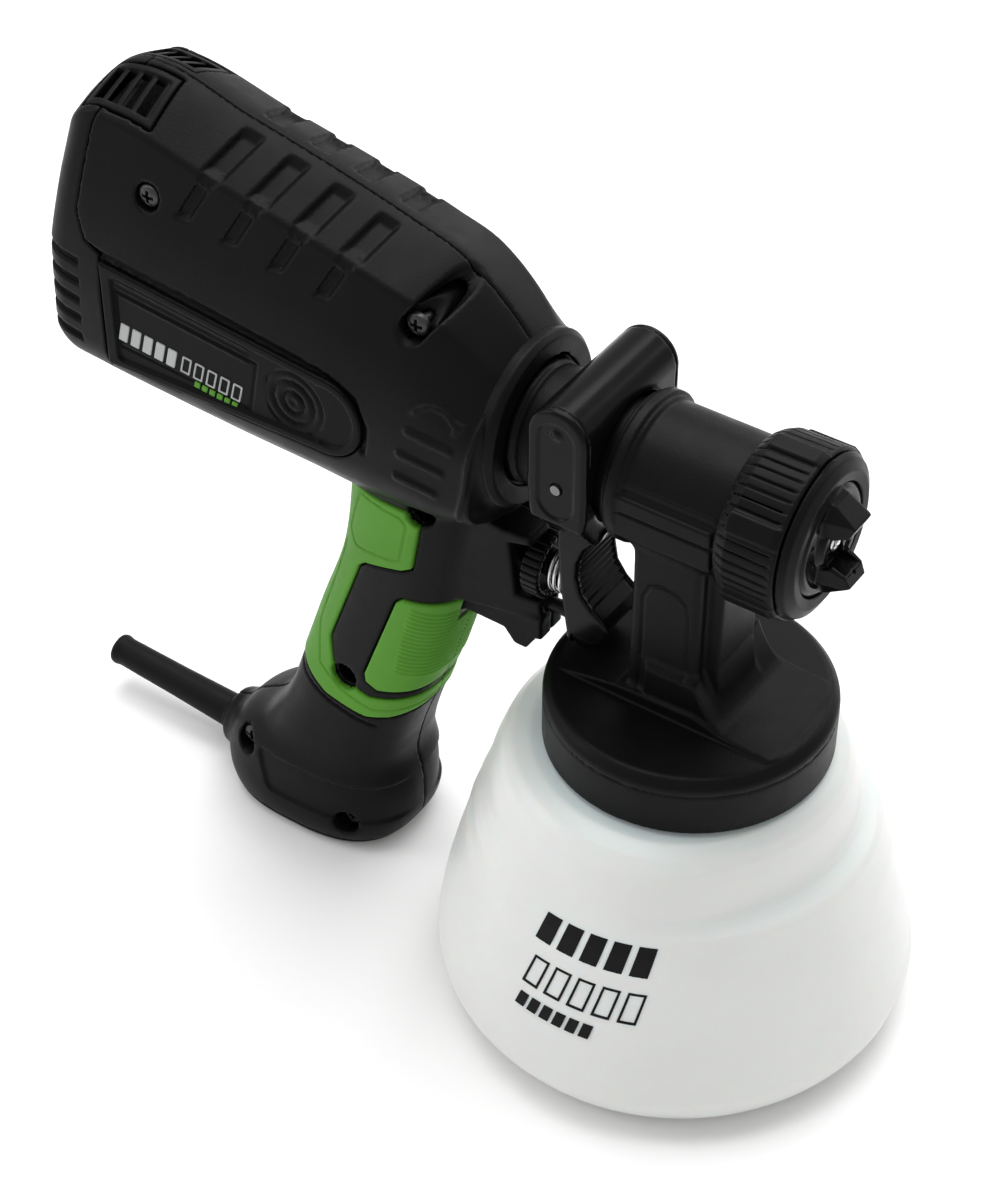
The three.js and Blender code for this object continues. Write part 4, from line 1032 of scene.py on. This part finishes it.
def print_patch(a0, a1, z0, z1, base):
    """A thin plate wrapped on the cup between two angles and two heights, its foot level with base."""
    columns, rows = 5, 4
    points, faces = [], []
    for lift in PRINT_LIFTS:
        for z in np.linspace(z0, z1, rows):
            for a in np.linspace(a0, a1, columns):
                turn = a + (z - base) * PRINT_LEAN
                r = float(cup_radius(turn, z)) + lift
                points.append((r * math.cos(turn), r * math.sin(turn), z))
    back = rows * columns
    for r in range(rows - 1):
        for c in range(columns - 1):
            q = (r * columns + c, r * columns + c + 1, (r + 1) * columns + c + 1, (r + 1) * columns + c)
            faces += [q, tuple(back + k for k in q[::-1])]
    rim = list(range(columns)) + [r * columns + columns - 1 for r in range(1, rows)]
    rim += [(rows - 1) * columns + c for c in range(columns - 2, -1, -1)]
    rim += [r * columns for r in range(rows - 2, 0, -1)]
    for i, j in zip(rim, rim[1:] + rim[:1]):
        faces.append((j, i, back + i, back + j))
    return points, faces


def cup_print(name, start, cell, count, z0, z1, open_bars):
    """A row of plain slanted bars printed on the cup, in place of lettering."""
    points, faces = [], []

    def add(a0, a1, low, high):
        new, quads = print_patch(math.radians(a0), math.radians(a1), low, high, z0)
        faces.extend(tuple(k + len(points) for k in q) for q in quads)
        points.extend(new)

    for i in range(count):
        a0 = start + i * cell
        a1 = a0 + cell * 0.72
        if not open_bars:
            add(a0, a1, z0, z1)
            continue
        thin, tall = cell * 0.1, 0.7
        add(a0, a0 + thin, z0, z1)
        add(a1 - thin, a1, z0, z1)
        add(a0 + thin, a1 - thin, z0, z0 + tall)
        add(a0 + thin, a1 - thin, z1 - tall, z1)
    obj = mesh_object(name, points, faces, False)
    return placed(obj, "cup", "cup", MATERIALS["print"])


def cup():
    """The paint cup: outside and inside skins joined over the rim, with a thread below it."""
    z, front, rear = (np.array(v, float) for v in zip(*CUP_RINGS))
    levels = np.concatenate([np.linspace(a, b, 5, endpoint=False) for a, b in zip(z, z[1:])] + [z[-1:]])
    front = np.interp(levels, z, front)
    rear = np.interp(levels, z, rear)
    soft = np.array([1, 2, 3, 2, 1]) / 9
    inside = slice(2, -2)
    front[inside], rear[inside] = np.convolve(front, soft, "valid"), np.convolve(rear, soft, "valid")
    angle = np.linspace(0, 2 * math.pi, 160, endpoint=False)
    share = cup_share(angle)
    rings = []

    def ring(radius, level):
        rings.append(np.stack([radius * np.cos(angle), radius * np.sin(angle), 0 * angle + level], 1))

    for level, f, r in zip(levels, front, rear):
        wave = np.maximum(np.cos((level / THREAD_PITCH - angle / (2 * math.pi)) * 2 * math.pi), 0)
        threaded = THREAD_HEIGHT * (THREAD_LOW < level < THREAD_HIGH)
        ring(f + (r - f) * share + wave * threaded, level)
    for level, f, r in list(zip(levels, front, rear))[:4:-1]:
        ring(f + (r - f) * share - CUP_WALL, max(level, CUP_FLOOR))
    for part in (0.7, 0.3, 0.02):
        ring(58 * part, CUP_FLOOR - 0.1)
    for part in (0.02, 0.5, 0.86, 0.9, 0.97):
        ring(CUP_RINGS[0][1] * part, 0.9 if part < 0.88 else 0.0)
    return lofted("cup_shell", rings, closed=True)


# ---------------------------------------------------------------- materials
def noise(nodes, links, place, scale, detail=2.0):
    """The value of a noise texture at a place on the object."""
    tex = nodes.new("ShaderNodeTexNoise")
    tex.inputs["Scale"].default_value = scale
    tex.inputs["Detail"].default_value = detail
    links.new(place, tex.inputs["Vector"])
    return tex.outputs["Fac"]


def between(nodes, links, value, low, high, start=0.3, end=0.7):
    """A number that moves from low to high as value moves from start to end."""
    span = nodes.new("ShaderNodeMapRange")
    for name, number in (("From Min", start), ("From Max", end), ("To Min", low), ("To Max", high)):
        span.inputs[name].default_value = number
    links.new(value, span.inputs["Value"])
    return span.outputs["Result"]


def tinted(nodes, links, factor, first, second):
    """A colour between two others."""
    mix = nodes.new("ShaderNodeMix")
    mix.data_type = "RGBA"
    mix.inputs["A"].default_value = (*first, 1)
    mix.inputs["B"].default_value = (*second, 1)
    links.new(factor, mix.inputs["Factor"])
    return mix.outputs["Result"]


def moulding(name, colour, rough, grain=1400, depth=0.00005, spread=0.12, worn=0.35, metallic=0.0, **fixed):
    """Moulded or machined stock: a fine grain, patches of tone and sheen, and lighter worn edges."""
    material = bpy.data.materials.new(name)
    material.use_nodes = True
    nodes, links = material.node_tree.nodes, material.node_tree.links
    shader = nodes["Principled BSDF"]
    shader.inputs["Metallic"].default_value = metallic
    for socket, value in fixed.items():
        shader.inputs[socket.replace("_", " ")].default_value = value
    place = nodes.new("ShaderNodeTexCoord").outputs["Object"]
    patches = noise(nodes, links, place, 45, 3)
    dark = tuple(c * (1 - spread) for c in colour)
    light = tuple(min(c * (1 + spread), 1) for c in colour)
    tone = tinted(nodes, links, between(nodes, links, patches, 0, 1), dark, light)
    edge = nodes.new("ShaderNodeNewGeometry").outputs["Pointiness"]
    rubbed = between(nodes, links, edge, 0, worn, 0.53, 0.62)
    worn_colour = tuple(min(c * 1.8 + 0.015, 1) for c in colour)
    mix = nodes.new("ShaderNodeMix")
    mix.data_type = "RGBA"
    links.new(rubbed, mix.inputs["Factor"])
    links.new(tone, mix.inputs["A"])
    mix.inputs["B"].default_value = (*worn_colour, 1)
    links.new(mix.outputs["Result"], shader.inputs["Base Color"])
    links.new(between(nodes, links, noise(nodes, links, place, 160, 3), rough * 0.9, rough * 1.12),
              shader.inputs["Roughness"])
    bump = nodes.new("ShaderNodeBump")
    bump.inputs["Strength"].default_value = 0.5
    bump.inputs["Distance"].default_value = depth
    links.new(noise(nodes, links, place, grain, 2), bump.inputs["Height"])
    links.new(bump.outputs["Normal"], shader.inputs["Normal"])
    return material


def grey(value):
    return (value, value, value * 1.02)


MATERIALS = {
    "shell": moulding("shell_plastic", grey(0.0036), 0.42, depth=0.00010, Specular_IOR_Level=0.09),
    "panel": moulding("panel_plastic", grey(0.0026), 0.36, depth=0.00006, Specular_IOR_Level=0.055),
    "head": moulding("head_plastic", grey(0.0036), 0.40, depth=0.00010, Specular_IOR_Level=0.09),
    "gloss": moulding("smooth_plastic", grey(0.003), 0.24, grain=900, depth=0.00003, Specular_IOR_Level=0.11),
    "grip": moulding("soft_grip", (0.078, 0.255, 0.020), 0.55, grain=2200, spread=0.05, worn=0.15,
                     Specular_IOR_Level=0.2),
    "cup": moulding("cup_plastic", (0.72, 0.715, 0.70), 0.34, grain=500, depth=0.00004, spread=0.015,
                    worn=0.0, Subsurface_Weight=0.25, Subsurface_Scale=0.006),
    "clear_tube": moulding("tube_plastic", (0.72, 0.74, 0.74), 0.25, grain=500, spread=0.03, worn=0.1),
    "rubber": moulding("cord_rubber", grey(0.004), 0.5, grain=1100, depth=0.00008, Specular_IOR_Level=0.1),
    "foam": moulding("filter_foam", grey(0.035), 0.95, grain=420, depth=0.0012, spread=0.35, worn=0.0),
    "steel": moulding("bright_steel", (0.62, 0.62, 0.63), 0.24, grain=1800, depth=0.00002, spread=0.06,
                      metallic=1.0),
    "screw": moulding("black_screw", grey(0.05), 0.35, grain=900, depth=0.00003, metallic=0.8),
    "alloy": moulding("cast_alloy", (0.42, 0.43, 0.44), 0.4, grain=800, depth=0.00006, metallic=1.0),
    "brass": moulding("turned_brass", (0.62, 0.45, 0.18), 0.28, grain=1500, depth=0.00002, metallic=1.0),
    "print": moulding("dark_print", grey(0.004), 0.5, depth=0.00002, worn=0.0, Specular_IOR_Level=0.12),
    "pin": moulding("dark_pin", grey(0.16), 0.42, grain=1500, depth=0.00002, worn=0.2, metallic=1.0),
    "badge": moulding("badge_print", (0.36, 0.37, 0.37), 0.4, depth=0.00002, spread=0.03, worn=0.0),
}


# ---------------------------------------------------------------- camera, lights and floor
CAMERA_PLACE = (0.27221, -0.49356, 0.63769)
CAMERA_TILT, CAMERA_TURN = 48.49, 34.32  # degrees
WORLD_STRENGTH = 0.62
SOFTBOXES = (  # name, place and target in metres, size in metres, watts
    ("overhead", (-0.30, 0.35, 1.5), (-0.05, 0, 0.12), (1.5, 1.3), 24),
    ("back", (0.15, 1.3, 0.8), (0, 0, 0.15), (1.4, 0.5), 6),
    ("left", (-1.3, -0.7, 0.9), (-0.05, 0, 0.12), (0.7, 0.9), 5),
)
FLOOR_HALF = 4000  # millimetres
FLOOR_DROP = 0.0005  # metres


def camera():
    """The camera that took the photo."""
    data = bpy.data.cameras.new("photo_camera")
    data.lens = 84
    data.sensor_width = 36
    data.clip_end = 20
    obj = linked("photo_camera", data)
    obj.location = CAMERA_PLACE
    obj.rotation_euler = (math.radians(CAMERA_TILT), 0, math.radians(CAMERA_TURN))
    bpy.context.scene.camera = obj


def softbox(name, place, target, size, power):
    """A rectangular light that looks at a target."""
    data = bpy.data.lights.new(name, "AREA")
    data.shape = "RECTANGLE"
    data.size, data.size_y = size
    data.energy = power
    obj = linked(name, data)
    obj.location = place
    obj.rotation_euler = (Vector(target) - Vector(place)).to_track_quat("-Z", "Y").to_euler()


def studio():
    """A white room: an even bright world, three softboxes and a pale floor."""
    world = bpy.data.worlds.new("studio")
    world.use_nodes = True
    back = world.node_tree.nodes["Background"]
    back.inputs["Color"].default_value = (1, 1, 1, 1)
    back.inputs["Strength"].default_value = WORLD_STRENGTH
    bpy.context.scene.world = world
    for box in SOFTBOXES:
        softbox(*box)
    square = [(FLOOR_HALF * u, FLOOR_HALF * v, 0) for u, v in ((-1, -1), (1, -1), (1, 1), (-1, 1))]
    floor = mesh_object("floor", square, [(0, 1, 2, 3)], False)
    material = bpy.data.materials.new("floor_paper")
    material.use_nodes = True
    shader = material.node_tree.nodes["Principled BSDF"]
    shader.inputs["Base Color"].default_value = (0.93, 0.93, 0.93, 1)
    shader.inputs["Roughness"].default_value = 0.9
    floor.data.materials.append(material)
    floor.location.z = -FLOOR_DROP
    bpy.context.scene.view_settings.view_transform = "Standard"


camera()
studio()


# ---------------------------------------------------------------- the pieces
def around(*nodes, extra=1.2):
    """A box in millimetres round CAD nodes, with some room."""
    low = np.min([corners(n)[0] for n in nodes], axis=0) - extra
    high = np.max([corners(n)[1] for n in nodes], axis=0) + extra
    return tuple(low), tuple(high)


def made(name, field, node, body, slot, step, extra=1.2, material=None):
    """A moulded piece that stands for one CAD node."""
    low, high = around(node, extra=extra)
    obj = moulded(name, field, low, high, step)
    return placed(obj, body, slot, MATERIALS[material or slot], node)


made("shell_right", shell_right, "housing_right", "motor_unit", "shell", 0.7, extra=2.5)
made("shell_left", shell_left, "housing_left", "motor_unit", "shell", 0.85, extra=2.5)
made("cover", cover, "rear_cover", "motor_unit", "shell", 0.6, extra=3.5)
for word, sign in (("right", -1), ("left", 1)):
    made("panel_" + word, side_panel(sign), "side_panel_" + word, "motor_unit", "panel", 0.5, extra=2.0)
    for part, ink in enumerate(("badge", "badge", "grip")):
        start, end, _, half, middle, _ = BADGE[part]
        near, far = sorted((29.0 * sign, 30.0 * sign))
        low, high = (start - 2, near, middle - half - 3), (end + 2, far, middle + half + 1.5)
        obj = moulded("badge_{}_{}".format(word, part + 1), badge(sign, part), low, high, 0.25)
        placed(obj, "motor_unit", "panel", MATERIALS[ink])
    made("grille_" + word, grille(sign), "vent_grille_" + word, "motor_unit", "gloss", 0.4, extra=2.5,
         material="shell")
    made("soft_rear_" + word, rear_grip(sign), "rear_grip_" + word, "motor_unit", "grip", 0.5, extra=3.5)
    made("soft_front_" + word, front_grip(sign), "front_grip_" + word, "motor_unit", "grip", 0.42, extra=3.0)
made("cord_boot", boot, "strain_relief", "motor_unit", "rubber", 0.45)
made("twist_socket", socket, "bayonet_socket", "motor_unit", "shell", 0.55)

pattern = moulded("screw_pattern", screw_head, (-4.4, -3.4, -4.4), (4.4, 9.6, 4.4), 0.28)
for name, sx, sz, face in SCREWS:
    seat = face + SCREW_SEAT
    reach = SCREW_END - seat
    points = np.array([v.co for v in pattern.data.vertices]) / MM
    points[:, 1] = np.where(points[:, 1] > 0, points[:, 1] * reach / SHANK, points[:, 1]) + seat
    points[:, 0] += sx
    points[:, 2] += sz
    quads = np.array([p.vertices[:] for p in pattern.data.polygons])
    placed(quad_mesh(name + "_black", points, quads), "motor_unit", "screw", MATERIALS["screw"], name)
bpy.data.objects.remove(pattern)

made("sprayer_head", head, "head_body", "spray_head", "head", 0.62, extra=2.0)
made("retaining_nut", nut, "nozzle_nut", "nut", "head", 0.42)
made("spray_cap", cap, "air_cap", "cap", "gloss", 0.34, extra=2.0)
made("spray_tip", nozzle, "fluid_nozzle", "spray_head", "brass", 0.3, material="steel")
made("trigger_lever", trigger, "trigger", "trigger_lever", "gloss", 0.42, extra=1.5)
made("adjuster", knob, "flow_knob", "knob", "gloss", 0.32)

SPRINGS = (  # piece, node, body, start, end, radius, turns, height, fixed end, share left at full pull
    ("lever_spring", "trigger_spring", "knob", -44.2, -36.6, 6.7, 4, KNOB_Z, -0.0439, 0.15),
    ("return_spring", "needle_spring", "spray_head", -49.6, -37.4, 4.0, 6, AXIS_Z, -0.0496, 0.82),
)
WIRE_R = 0.5
for piece, node, body, start, end, radius, turns, height, fixed, keep in SPRINGS:
    spring = coil(piece, start, end, radius, WIRE_R, turns, (0, height))
    placed(spring, body, "steel", MATERIALS["steel"], node)
    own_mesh(spring)

axle = swept("pivot_pin", [(PIVOT_X, y, PIVOT_Z) for y in np.linspace(-21, 21, 12)], 1.5, 24)
placed(axle, "spray_head", "steel", MATERIALS["pin"], "trigger_axle")

placed(cup(), "cup", "cup", MATERIALS["cup"], "paint_cup")
for number, mark in enumerate(CUP_MARKS, 1):
    cup_print("cup_mark_{}".format(number), *mark)

KEPT = {
    "motor_body": "steel", "rear_bearing": "steel", "front_bearing": "steel", "turbine_impeller": "alloy",
    "turbine_shroud": "shell", "power_switch": "gloss", "switch_plunger": "gloss", "inner_lead": "rubber",
    "paint_needle": "steel", "needle_packing": "rubber", "suction_tube": "clear_tube", "tube_seal": "rubber",
    "needle_cross_pin": "pin", "cup_gasket": "rubber", "air_filter": "foam",
}
for name, slot in KEPT.items():
    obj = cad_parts[name]
    obj.data.materials.clear()
    obj.data.materials.append(MATERIALS[slot])
